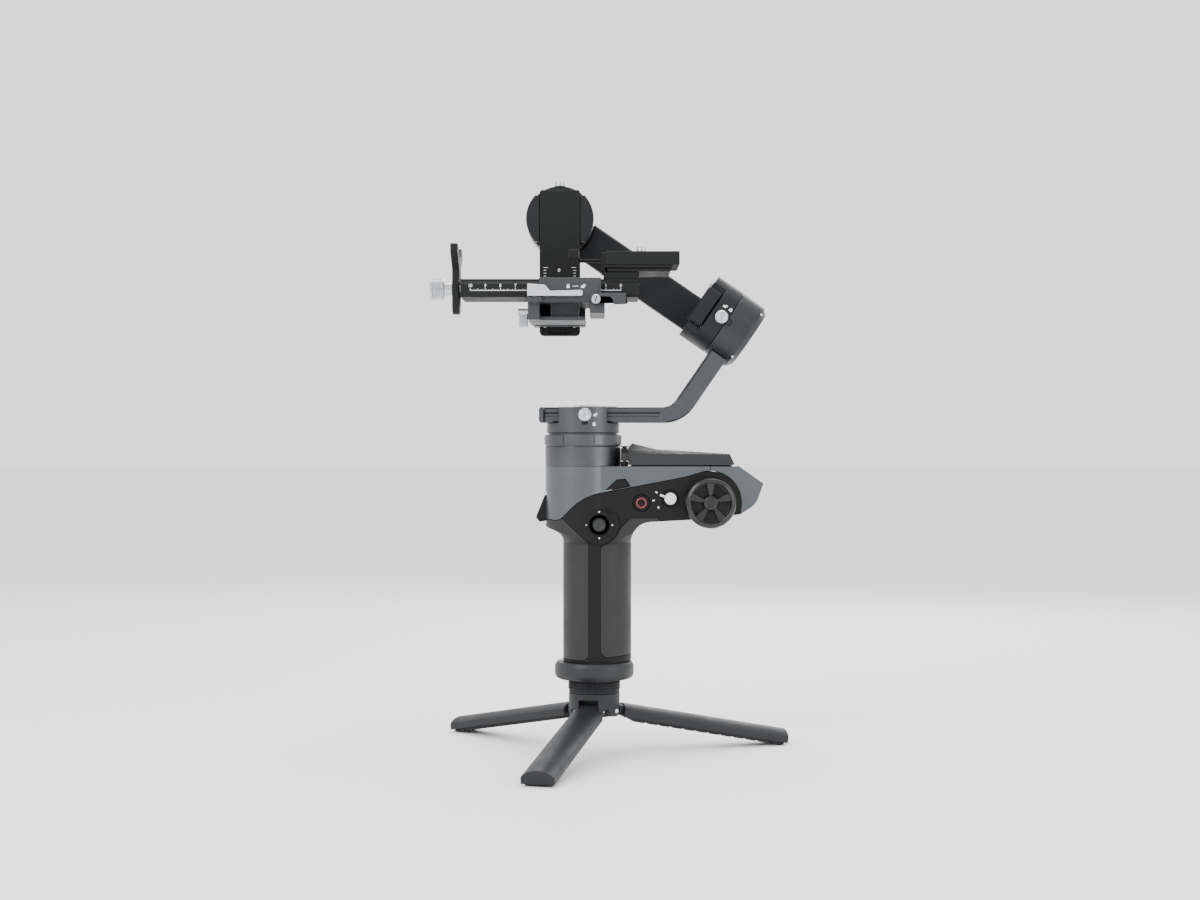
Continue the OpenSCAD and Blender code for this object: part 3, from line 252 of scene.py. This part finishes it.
def chamfer_outside(piece, width, angle=32):
    """Cuts a flat chamfer along the outside edges only, so that nothing grows into the inside corners."""
    only(piece)
    mesh = piece.data
    sides = {}
    for face in mesh.polygons:
        for key in face.edge_keys:
            sides.setdefault(key, []).append(face)
    outside = set()
    for key, pair in sides.items():
        if len(pair) == 2 and pair[0].normal.angle(pair[1].normal, 0) > radians(angle):
            if (pair[1].center - pair[0].center).dot(pair[0].normal) < 0:
                outside.add(tuple(sorted(key)))
    bpy.ops.object.mode_set(mode="EDIT")
    bpy.ops.mesh.select_mode(type="EDGE")
    bpy.ops.mesh.select_all(action="DESELECT")
    bpy.ops.object.mode_set(mode="OBJECT")
    for edge in mesh.edges:
        edge.select = tuple(sorted(edge.vertices)) in outside
    bpy.ops.object.mode_set(mode="EDIT")
    bpy.ops.mesh.bevel(offset=width * MM, segments=1, affect="EDGES", clamp_overlap=False)
    bpy.ops.object.mode_set(mode="OBJECT")


def dress(piece, finish, body, *replaced):
    """Gives a piece its finish, its body and the CAD parts that it stands for."""
    piece.data.materials.clear()
    piece.data.materials.append(finish)
    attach(piece, body)
    if replaced:
        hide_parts(*replaced)
    return piece


def join(name, *pieces):
    """Makes one piece of several."""
    only(pieces[0])
    for piece in pieces[1:]:
        piece.select_set(True)
    bpy.ops.object.join()
    pieces[0].name = name
    return pieces[0]


def cad_copy(node, name):
    """A merged copy of a CAD part, with its flat faces whole again, ready for softer edges."""
    piece = bpy.data.objects.new(name, frame["nodes"][node].data.copy())
    bpy.context.scene.collection.objects.link(piece)
    only(piece)
    bpy.ops.object.mode_set(mode="EDIT")
    bpy.ops.mesh.select_all(action="SELECT")
    bpy.ops.mesh.remove_doubles(threshold=0.004 * MM)
    bpy.ops.mesh.dissolve_limited(angle_limit=radians(0.4))
    bpy.ops.object.mode_set(mode="OBJECT")
    return piece


def machined(node, finish, body, width, segments=2):
    """A CAD part with its edges broken, in its finish."""
    piece = cad_copy(node, node + "_finished")
    soften(piece, width, segments)
    return dress(piece, finish, body, node)


def block(name, lo, hi):
    """A box between two corners in millimetres."""
    lo, hi = Vector(lo), Vector(hi)
    bpy.ops.object.select_all(action="DESELECT")
    bpy.ops.mesh.primitive_cube_add(size=1, location=(lo + hi) / 2 * MM)
    piece = bpy.context.object
    piece.name = name
    piece.scale = (hi - lo) * MM
    settle(piece)
    return piece


def turned(name, steps, place, segments):
    """A turned piece: a disc drawn out through (radius, height) steps along its own z, then put in place."""
    bpy.ops.object.select_all(action="DESELECT")
    radius, height = steps[0]
    bpy.ops.mesh.primitive_circle_add(vertices=segments, radius=radius * MM, fill_type="NGON",
                                      location=(0, 0, height * MM))
    piece = bpy.context.object
    piece.name = name
    settle(piece)
    bpy.ops.object.mode_set(mode="EDIT")
    bpy.ops.mesh.select_mode(type="FACE")
    bpy.ops.mesh.select_all(action="SELECT")
    for new_radius, new_height in steps[1:]:
        rise = (new_height - height) * MM
        bpy.ops.mesh.extrude_region_move(TRANSFORM_OT_translate={"value": (0, 0, rise)})
        share = new_radius / radius
        bpy.ops.transform.resize(value=(share, share, 1), center_override=(0, 0, new_height * MM))
        radius, height = new_radius, new_height
    bpy.ops.object.mode_set(mode="OBJECT")
    piece.matrix_world = place
    settle(piece)
    close(piece, 0.002)
    return piece


def tube(name, steps, place, segments):
    """A turned ring: outside steps up, then inside steps down, with the middle left open."""
    piece = turned(name, steps, Matrix(), segments)
    pick(piece, lambda c, n: c.xy.length < 0.01 and abs(n.z) > 0.9)
    bpy.ops.mesh.delete(type="FACE")
    bpy.ops.mesh.select_mode(type="EDGE")
    bpy.ops.mesh.select_all(action="DESELECT")
    bpy.ops.mesh.select_non_manifold()
    bpy.ops.mesh.bridge_edge_loops()
    bpy.ops.object.mode_set(mode="OBJECT")
    put(piece, place)
    close(piece, 0.002)
    return piece


def relief(piece, test, rim, depth, each=True):
    """Raises or sinks the faces that pass the test inside a rim, one by one or as a whole."""
    pick(piece, test)
    bpy.ops.mesh.inset(thickness=rim * MM, depth=depth * MM, use_individual=each)
    bpy.ops.object.mode_set(mode="OBJECT")


def at(x, y, z, turn=(0, 0, 0)):
    """A place in millimetres with a turn in degrees."""
    rotation = Euler([radians(a) for a in turn]).to_matrix().to_4x4()
    return Matrix.Translation(Vector((x, y, z)) * MM) @ rotation


def facing_near(x, y, z):
    """A place whose own z points at the near side and whose own y points up."""
    return at(x, y, z, (90, 0, 0))


def put(piece, place):
    """Moves a finished shape from the origin to its place."""
    piece.matrix_world = place
    settle(piece)
    return piece


def print_mark(name, text, size, place):
    """A printed number, as a thin raised film."""
    bpy.ops.object.select_all(action="DESELECT")
    bpy.ops.object.text_add()
    mark = bpy.context.object
    mark.data.body = text
    mark.data.size = size * MM
    mark.data.extrude = 0.03 * MM
    mark.data.align_x = "CENTER"
    mark.data.align_y = "CENTER"
    mark.data.resolution_u = 4
    bpy.ops.object.convert(target="MESH")
    mark.name = name
    return put(mark, place)


def dash(name, length, width, place, thickness=0.06):
    """A printed line, centred on its place, running along its own x."""
    piece = block(name, (-length / 2, -width / 2, -thickness / 2), (length / 2, width / 2, thickness / 2))
    return put(piece, place)


def padlock(name, open_shackle, size, place):
    """A generic lock sign: a small body with a hoop that is shut or swung out."""
    body = block(name, (-size * 0.5, -size * 0.45, -0.03), (size * 0.5, size * 0.25, 0.03))
    bpy.ops.object.select_all(action="DESELECT")
    bpy.ops.mesh.primitive_torus_add(major_segments=20, minor_segments=6, major_radius=size * 0.32 * MM,
                                     minor_radius=size * 0.1 * MM)
    hoop = bpy.context.object
    hoop.scale = (1, 1, 0.2)
    hoop.location = ((size * 0.5 if open_shackle else 0) * MM, size * 0.35 * MM, 0)
    settle(hoop)
    return put(join(name, body, hoop), place)


# ---------------------------------------------------------------- camera, lights and floor

bpy.ops.object.select_all(action="DESELECT")
camera_spot = (0.00385, -1.237, 0.2034)
focal_length = 54.93
bpy.ops.object.camera_add(location=camera_spot, rotation=(radians(90), 0, 0))
camera = bpy.context.object
camera.data.lens = focal_length
camera.data.sensor_width = 36
bpy.context.scene.camera = camera

world = bpy.data.worlds.new("studio")
bpy.context.scene.world = world
world.use_nodes = True
world.node_tree.nodes["Background"].inputs["Color"].default_value = linear("#F4F4F5")
world.node_tree.nodes["Background"].inputs["Strength"].default_value = 1.9

# each softbox: its place, the point it faces, its width, height and power
softboxes = {
    "key_softbox": ((-0.9, -1.0, 0.95), (0.0, 0.0, 0.22), 0.7, 0.9, 16),
    "fill_softbox": ((1.1, -0.9, 0.5), (0.0, 0.0, 0.2), 0.6, 0.9, 7),
    "top_softbox": ((0.1, 0.15, 1.3), (0.0, 0.0, 0.2), 0.9, 0.7, 11),
    "back_softbox": ((0.35, 1.2, 0.7), (0.0, 0.0, 0.25), 0.9, 0.6, 9),
}
for light_name, (spot, aim, width, height, power) in softboxes.items():
    bpy.ops.object.select_all(action="DESELECT")
    bpy.ops.object.light_add(type="AREA", location=spot)
    lamp = bpy.context.object
    lamp.name = light_name
    lamp.rotation_euler = (Vector(aim) - Vector(spot)).to_track_quat("-Z", "Y").to_euler()
    lamp.data.shape = "RECTANGLE"
    lamp.data.size = width
    lamp.data.size_y = height
    lamp.data.energy = power

bpy.ops.object.select_all(action="DESELECT")
bpy.ops.mesh.primitive_plane_add(size=40, location=(0, 0, -0.0004))
floor = bpy.context.object
floor.name = "floor"
floor_paint = surface("pale_floor", "#F2F2F2", 0.8, 40, 0.01, tone=0.004, patch=300)
floor.data.materials.append(floor_paint)

# ---------------------------------------------------------------- CAD parts that only need their finish

kept = {
    "grip_core": moulded_abs, "battery_cells": shrink_wrap, "main_board": solder_mask,
    "pan_coils": enamelled_copper, "roll_coils": enamelled_copper, "tilt_coils": enamelled_copper,
    "pan_shaft": ground_steel, "roll_shaft": ground_steel, "tilt_shaft": ground_steel,
    "joystick_cradle": moulded_abs, "screen_glass": cover_glass, "tripod_fasteners": satin_nickel,
}
for part, finish in kept.items():
    mesh = frame["nodes"][part].data
    mesh.materials.clear()
    mesh.materials.append(finish)

# ---------------------------------------------------------------- CAD parts with broken edges

machined("tripod_hub", powder_coat, "grip", 0.5)
machined("base_collar", moulded_abs, "grip", 0.4)
machined("grip_front_pad", pebbled_rubber, "grip", 0.35)
machined("grip_rear_pad", pebbled_rubber, "grip", 0.35)
machined("shell_near", metallic_lacquer, "grip", 0.3)
machined("shell_far", metallic_lacquer, "grip", 0.3)
machined("tail_cap", metallic_lacquer, "grip", 0.3)
machined("control_panel", eroded_nylon, "grip", 0.3)
machined("far_panel", eroded_nylon, "grip", 0.3)
machined("power_button", eroded_nylon, "power_key", 0.35)
machined("trigger", eroded_nylon, "trigger_key", 0.6, 3)
machined("screen_hinge", eroded_nylon, "grip", 0.3)
machined("pan_stator", turned_grey, "grip", 0.4)
machined("pan_rotor", anodised_grey, "pan_turret", 0.35)
machined("pan_clamp_lever", pearl_nickel, "pan_clamp", 0.4)
for node, finish, body, width in (("pan_arm", anodised_grey, "pan_beam", 1.1),
                                  ("roll_arm", anodised_dark, "roll_beam", 1.2)):
    arm = cad_copy(node, node + "_finished")
    chamfer_outside(arm, width)
    soften(arm, 0)
    dress(arm, finish, body, node)
machined("roll_stator", turned_roll, "pan_beam", 0.5)
machined("roll_rotor", anodised_dark, "roll_turret", 0.4)
machined("roll_clamp_lever", pearl_nickel, "roll_clamp", 0.4)
machined("tilt_stator", turned_tilt, "roll_beam", 0.5)
machined("tilt_rotor", anodised_dark, "tilt_turret", 0.4)
machined("vertical_bar", anodised_black, "tilt_turret", 0.5)
machined("clamp_base", anodised_titanium, "base", 0.6)
lever = cad_copy("qr_lever", "qr_lever_finished")
soften(lever, 0.3, clamp=True)
dress(lever, pearl_nickel, "plate_lock", "qr_lever")
machined("safety_latch", anodised_titanium, "latch", 0.5)
machined("height_lever", satin_nickel, "height_lock", 0.6, 3)
machined("slide_plate", anodised_black, "plate", 0.4)
machined("riser_plate", anodised_black, "plate", 0.5)
machined("camera_plate", anodised_black, "camera_mount", 0.6)
machined("camera_screw", satin_nickel, "screw", 0.3)
machined("lens_bracket", anodised_black, "lens_support", 0.6)

for part in (1, 2, 3):
    machined(f"tripod_leg_{part}", powder_coat, f"leg_{part}", 0.7, 3)
    machined(f"leg_pad_{part}", plain_rubber, f"leg_{part}", 0.3)

machined("tilt_lock", satin_nickel, "tilt_lock_knob", 0.3)

# ---------------------------------------------------------------- knurled ring of the tripod

ring_z = low("tripod_ring").z
ring_r = high("tripod_ring").x
knurled = tube("tripod_ring_knurled", [
    (ring_r - 1.2, 0), (ring_r - 0.5, 0.5), (ring_r - 0.5, 1.2), (ring_r - 1.3, 1.4), (ring_r - 1.3, 1.8),
    (ring_r - 0.8, 2.0), (ring_r - 0.8, 3.8), (ring_r - 0.8, 5.6), (ring_r - 0.8, 7.4),
    (ring_r - 1.3, 7.7), (ring_r - 1.3, 8.1), (ring_r - 0.6, 8.3), (ring_r - 0.6, 8.9), (ring_r - 1.2, 9.3),
    (6.0, 9.3), (6.0, 0)], at(0, 0, ring_z), 60)
relief(knurled, lambda c, n: abs(n.z) < 0.1 and c.xy.length > ring_r - 1.0 and 1.9 < c.z - ring_z < 7.6,
       0.42, 0.7)
soften(knurled, 0, angle=30)
dress(knurled, powder_coat, "grip", "tripod_ring")
# Dark rubber layer just above the ring's surface, seen between the raised knurl ridges: painted shade in the
# grooves
knurl_painted_shade = tube("tripod_ring_knurl_painted_shade", [(ring_r - 0.72, 1.9), (ring_r - 0.72, 7.5), (7.0, 7.5), (7.0, 1.9)],
              at(0, 0, ring_z), 60)
soften(knurl_painted_shade, 0)
dress(knurl_painted_shade, plain_rubber, "grip")

# ---------------------------------------------------------------- controls on the near side of the grip

cap_radius, dot_reach = 4.2, 8.7
panel_y = low("power_button").y + 0.5
stick_x, stick_z = 3.3, high("joystick_stick").z - cap_radius
bezel = tube("joystick_bezel", [(9.9, 0), (9.9, 0.5), (9.4, 1.0), (8.0, 1.0), (7.2, 0.7), (6.6, -0.9),
                                (6.6, -2), (9.9, -2)], facing_near(stick_x, panel_y - 2.2, stick_z), 72)
soften(bezel, 0, angle=35)
dress(bezel, eroded_nylon, "grip")
for k, (dx, dz) in enumerate(((0, 1), (-1, 0), (0, -1), (1, 0))):
    dot = turned(f"joystick_dot_{k}", [(0.5, 0), (0.5, 0.1), (0.4, 0.13)],
                 facing_near(stick_x + dx * dot_reach, panel_y - 3.17, stick_z + dz * dot_reach), 16)
    dress(dot, white_ink, "grip")
stick = turned("joystick_cap", [(1.5, -11), (1.5, 0), (3.4, 0.1), (4.2, 0.8), (4.2, 2.2), (3.7, 2.9),
                                (2.9, 3.0),
                                (2.3, 2.5), (1.0, 2.3)], facing_near(stick_x, panel_y - 4, stick_z), 48)
relief(stick, lambda c, n: c.y < panel_y - 4.4 and abs(n.y) < 0.3, 0.1, -0.18)
soften(stick, 0, angle=40)
dress(stick, moulded_abs, "joystick", "joystick_stick")

record_root = panel_y + 3.6
record_x, record_z = 31.3, (low("record_button").z + high("record_button").z) / 2
record = turned("record_key_cap", [(4.4, 0), (4.4, 2.4), (5.4, 2.45), (5.4, 4.0), (5.1, 4.4), (4.6, 4.5),
                                   (4.2, 4.2), (3.7, 3.7), (2.4, 3.7), (2.1, 4.1), (1.3, 4.2), (1.0, 3.9)],
                facing_near(record_x, record_root, record_z), 48)
soften(record, 0, angle=40)
dress(record, eroded_nylon, "record_key", "record_button")
red_ring = tube("record_ring", [(3.6, 3.5), (3.6, 4.15), (2.5, 4.15), (2.5, 3.5)],
                facing_near(record_x, record_root, record_z), 48)
soften(red_ring, 0.12)
dress(red_ring, red_acrylic, "record_key")

dial_radius, dial_root = 4, panel_y + 5
dial_x, dial_z = 50.6, high("mode_dial").z - dial_radius
knob = turned("mode_dial_knob", [(1.5, 0), (1.5, 4.3), (3.7, 4.4), (4.0, 4.8), (4.0, 7.3), (3.65, 7.85),
                                 (3.1, 8.0),
                                 (2.8, 7.85), (1.0, 7.8)], facing_near(dial_x, dial_root, dial_z), 48)
soften(knob, 0, angle=30)
dress(knob, silver_paint, "dial", "mode_dial")
pointer = put(block("dial_pointer", (2.8, -0.7, 5.3), (7.4, 0.7, 6.0)),
              facing_near(dial_x, dial_root, dial_z) @ at(0, 0, 0, (0, 0, 160)))
soften(pointer, 0.25)
dress(pointer, silver_paint, "dial")
mode_spots = (41.3, 175.3), (39.4, 169.9), (42.6, 165.3)
for k, (x, z) in enumerate(mode_spots):
    place = facing_near(x, panel_y - 0.02, z) @ at(0, 0, 0, (0, 0, 60 * k - 30))
    mark = dash(f"mode_mark_{k}", 1.5, 0.8, place)
    dress(mark, white_ink, "grip")

wheel_x, wheel_z = 76.9, (low("control_wheel").z + high("control_wheel").z) / 2
wheel_r = (high("control_wheel").x - low("control_wheel").x) / 2
wheel = turned("control_wheel_disc", [
    (3.0, -6), (3.0, 0), (wheel_r - 1.4, 0.05), (wheel_r, 1.2), (wheel_r, 3.3), (wheel_r - 0.6, 3.6),
    (wheel_r - 0.6, 4.0), (wheel_r, 4.3), (wheel_r, 7.6), (wheel_r - 0.9, 8.9), (wheel_r - 2.4, 9.5),
    (wheel_r - 3.2, 9.2), (wheel_r - 3.6, 8.3), (5.0, 7.6), (4.5, 8.7), (3.4, 9.0), (3.0, 8.4)],
    facing_near(wheel_x, panel_y - 1, wheel_z), 60)


spokes, hollow_share = 5, 0.72
hub_edge, rim_edge = 5.3, wheel_r - 3.9


def between_spokes(c, n):
    """True on the wheel's inner disc, away from its spokes."""
    out = Vector((c.x - wheel_x, c.z - wheel_z))
    half = pi / spokes
    turn = (out.angle_signed(Vector((0, 1))) + 2 * pi) % (2 * half)
    return n.y < -0.8 and hub_edge < out.length < rim_edge and abs(turn - half) < half * hollow_share


relief(wheel, between_spokes, 0.5, -5.2, each=False)
soften(wheel, 0.25, 2, 40)
dress(wheel, gloss_black, "wheel", "control_wheel")
# Dark rubber disc inside the wheel's hollows between the spokes: painted shade that darkens the hollows
hollow_painted_shade = turned("wheel_hollow_painted_shade", [(wheel_r - 4.4, 2.9), (wheel_r - 4.4, 3.3),
                                             (wheel_r - 4.8, 3.5)],
                      facing_near(wheel_x, panel_y - 1, wheel_z), 60)
soften(hollow_painted_shade, 0)
dress(hollow_painted_shade, plain_rubber, "wheel")

# ---------------------------------------------------------------- silver knobs


def lock_knob(name, place, stem, body, node):
    """A turned lock knob on its stem, with a chamfered rim and a shallow dish."""
    made = turned(name, [(1.5, 0), (1.5, stem), (3.8, stem), (4.3, stem + 0.4), (4.3, stem + 1.9),
                         (3.5, stem + 2.6),
                         (2.4, stem + 2.9), (1.6, stem + 2.6), (0.8, stem + 2.5)], place, 48)
    soften(made, 0, angle=25)
    return dress(made, satin_nickel, body, node)


pan_axis = pivots["pan_turn"]
for lock, stem in (("pan_lock", 3.7), ("roll_lock", 1.5)):
    middle = (low(lock) + high(lock)) / 2
    place = facing_near(middle.x, high(lock).y, middle.z)
    lock_knob(lock + "_turned", place, stem, lock + "_knob", lock)

# the knob that clamps the lens support, with its collar and a diamond knurl
knob_end = high("lens_knob").x
middle = (low("lens_knob") + high("lens_knob")) / 2
span = knob_end - low("lens_knob").x
lens_grip = turned("lens_knob_knurled", [
    (2.5, 0), (2.5, span - 14.6), (4.8, span - 14.5), (4.8, span - 9.6), (6.6, span - 9.5), (7.1, span - 9.1),
    (7.1, span - 8.3), (6.7, span - 8.1), (6.9, span - 7.9), (6.9, span - 6.4), (6.9, span - 4.9),
    (6.9, span - 3.4), (6.9, span - 1.9), (6.7, span - 1.7), (7.1, span - 1.5), (7.1, span - 0.7),
    (6.5, span), (5.0, span), (4.7, span - 0.4), (1.5, span - 0.5)],
                   at(knob_end, middle.y, middle.z, (0, -90, 0)), 48)
relief(lens_grip, lambda c, n: abs(n.x) < 0.1 and 1.8 < c.x - knob_end + span < 8.0
       and Vector((c.y - middle.y, c.z - middle.z)).length > 6, 0.2, 0.26)
soften(lens_grip, 0, angle=30)
dress(lens_grip, satin_nickel, "support_knob", "lens_knob")

# ---------------------------------------------------------------- flip-out screen

case = cad_copy("screen_case", "screen_case_finished")
case_z = low("screen_case").z
# the two long slopes of its top: where they start and how they lean
slope_y, slope_rise, slope_lean = 21.1, 6.9, 0.42
for side in (-1, 1):
    pick(case, lambda c, n: True)
    bpy.ops.mesh.bisect(plane_co=(0, side * slope_y * MM, (case_z + slope_rise) * MM),
                        plane_no=(0, side * slope_lean, 0.9),
                        use_fill=True, clear_outer=True)
    bpy.ops.object.mode_set(mode="OBJECT")
close(case, 0.02)
soften(case, 0.4, clamp=True)
dress(case, moulded_abs, "screen", "screen_case")
hinge = pivots["screen_swing"]
hinge_r = hinge.x - low("screen_case").x
barrel_z = high("pan_stator").z - 17.55
barrel = turned("screen_barrel", [(hinge_r - 0.4, 0), (hinge_r, 0.4), (hinge_r, 3.9), (hinge_r - 0.4, 4.1),
                                  (hinge_r - 0.4, 4.5), (hinge_r, 4.7), (hinge_r, 8.2), (hinge_r - 0.4, 8.6)],
                at(hinge.x, hinge.y, barrel_z), 40)
soften(barrel, 0, angle=30)
dress(barrel, eroded_nylon, "screen")

shell_top = high("shell_near").z
rest = block("screen_rest", (25, -14, shell_top - 0.2), (92, 14, shell_top + 0.6))
soften(rest, 0.3)
dress(rest, plain_rubber, "grip")

# ---------------------------------------------------------------- printed scales and signs

plate_y, plate_line = low("slide_plate").y, low("slide_plate").z + 4.3
plate_zero = 17.7
ticks = []
for k in range(101):
    length = 2.0 if k % 10 == 0 else 1.3 if k % 5 == 0 else 0.8
    place = facing_near(plate_zero - k, plate_y, plate_line + length / 2)
    ticks.append(dash(f"plate_tick_{k}", 0.26, length, place))
ticks.append(dash("plate_line", 100.3, 0.22, facing_near(plate_zero - 50, plate_y, plate_line)))
for k in range(11):
    place = facing_near(plate_zero - 10 * k, plate_y, plate_line + 3.3)
    ticks.append(print_mark(f"plate_number_{k}", str(k), 2.9, place))
dress(join("plate_scale", *ticks), white_ink, "plate")

bar_y = low("vertical_bar").y
bar_middle, bar_reach, bar_top, bar_step = -24.4, 11.4, 331.7, 2
ticks = []
for k in range(22):
    length = 3.0 if k % 5 == 0 else 1.9
    for side in (-1, 1):
        x = bar_middle + side * (bar_reach - length / 2)
        ticks.append(dash(f"bar_tick_{k}_{side}", length, 0.28,
                          facing_near(x, bar_y, bar_top - bar_step * k)))
for k, z in enumerate((329.7, 311.7, 294.1)):
    ticks.append(print_mark(f"bar_number_{k}", str(k), 3.6, facing_near(-24.9, bar_y, z)))
dress(join("bar_scale", *ticks), white_ink, "tilt_turret")

# near face of the clamp base, and the height of its signs
base_y, sign_z = -28.0, 311.4
signs = [padlock("base_shut", False, 2.1, facing_near(-17.2, base_y, sign_z)),
         dash("base_dash", 3.6, 0.4, facing_near(-12.3, base_y, sign_z + 0.2)),
         padlock("base_open", True, 2.1, facing_near(-7.6, base_y, sign_z))]
dress(join("base_signs", *signs), white_ink, "base")


def on_drum(origin, axis, side, along, across, radius, upright):
    """A place on the near side of a round motor, a distance along its axis and a distance across."""
    depth = sqrt(radius**2 - across**2)
    out = side * (across / radius) + Vector((0, -depth / radius, 0))
    right = axis.cross(out) if upright else axis
    up = axis if upright else out.cross(axis)
    spot = origin + axis * along + side * across + Vector((0, -depth, 0))
    return Matrix.Translation(spot * MM) @ Matrix((right, up, out)).transposed().to_4x4()


upwards, rightwards = Vector((0, 0, 1)), Vector((1, 0, 0))
pan_drum = Vector((pan_axis.x, 0, 0))
# radius of the turning head, without the clamp that stands out from it
pan_r = min(pan_axis.x - low("pan_rotor").x, 24.4)
signs = [padlock("pan_open", True, 2.0, on_drum(pan_drum, upwards, rightwards, 226.6, 8.0, pan_r, True)),
         padlock("pan_shut", False, 2.0, on_drum(pan_drum, upwards, rightwards, 220.4, 7.6, pan_r, True))]
dress(join("pan_signs", *signs), white_ink, "pan_turret")
# along the roll axis, upwards across it, and the upper end of the motor
roll_along, roll_rise = Vector((0.82413, 0, -0.56641)), Vector((0.56641, 0, 0.82413))
roll_drum, roll_r = Vector((78.457, 0, 295.607)), 23.8
signs = [padlock("roll_open", True, 2.0, on_drum(roll_drum, roll_along, roll_rise, 4.9, 7.2, roll_r, False)),
         padlock("roll_shut", False, 2.0, on_drum(roll_drum, roll_along, roll_rise, 9.6, 7.2, roll_r, False))]
dress(join("roll_signs", *signs), white_ink, "roll_turret")
signs = []
for side in (-1, 1):
    place = on_drum(roll_drum, roll_along, roll_rise, 28.3, 17 * side, roll_r, False)
    signs.append(turned(f"roll_dot_{side}", [(0.8, -0.1), (0.8, 0.03), (0.7, 0.06)], place, 16))
dress(join("roll_dots", *signs), white_ink, "pan_beam")

# raised pads round the ring between the pan motor and its turning head
pads = []
pad_count, first_pad, pad_reach = 6, 24, pan_r + 1.15
for k in range(pad_count):
    angle = 360 // pad_count * k + first_pad
    out = Vector((sin(radians(angle)), -cos(radians(angle)), 0))
    spot = pan_drum + out * pad_reach
    pad = block(f"pan_pad_{k}", (-2.6, -3.1, -0.6), (2.6, 3.1, 0.35))
    pads.append(put(pad, at(spot.x, spot.y, high("pan_stator").z - 3.6, (90, 0, angle))))
pan_pads = join("pan_ring_pads", *pads)
soften(pan_pads, 0.2)
dress(pan_pads, turned_grey, "grip")

# slotted screw that the safety latch turns on, with its slot drawn as painted shade on a flat head
latch = pivots["latch_press"]
screw_y = low("safety_latch").y
screw = turned("latch_screw", [(3.0, 0), (3.0, 0.3), (2.6, 0.7), (2.0, 0.7)],
               facing_near(latch.x, screw_y + 0.1, latch.z), 32)
soften(screw, 0, angle=30)
dress(screw, satin_nickel, "latch")
# Black bar on the screw head where its slot is: painted shade, as no slot is cut
place = facing_near(latch.x, screw_y - 0.6, latch.z) @ at(0, 0, 0, (0, 0, 75))
slot_painted_shade = dash("latch_screw_slot_painted_shade", 4.2, 0.7, place, 0.1)
dress(slot_painted_shade, eroded_nylon, "latch")
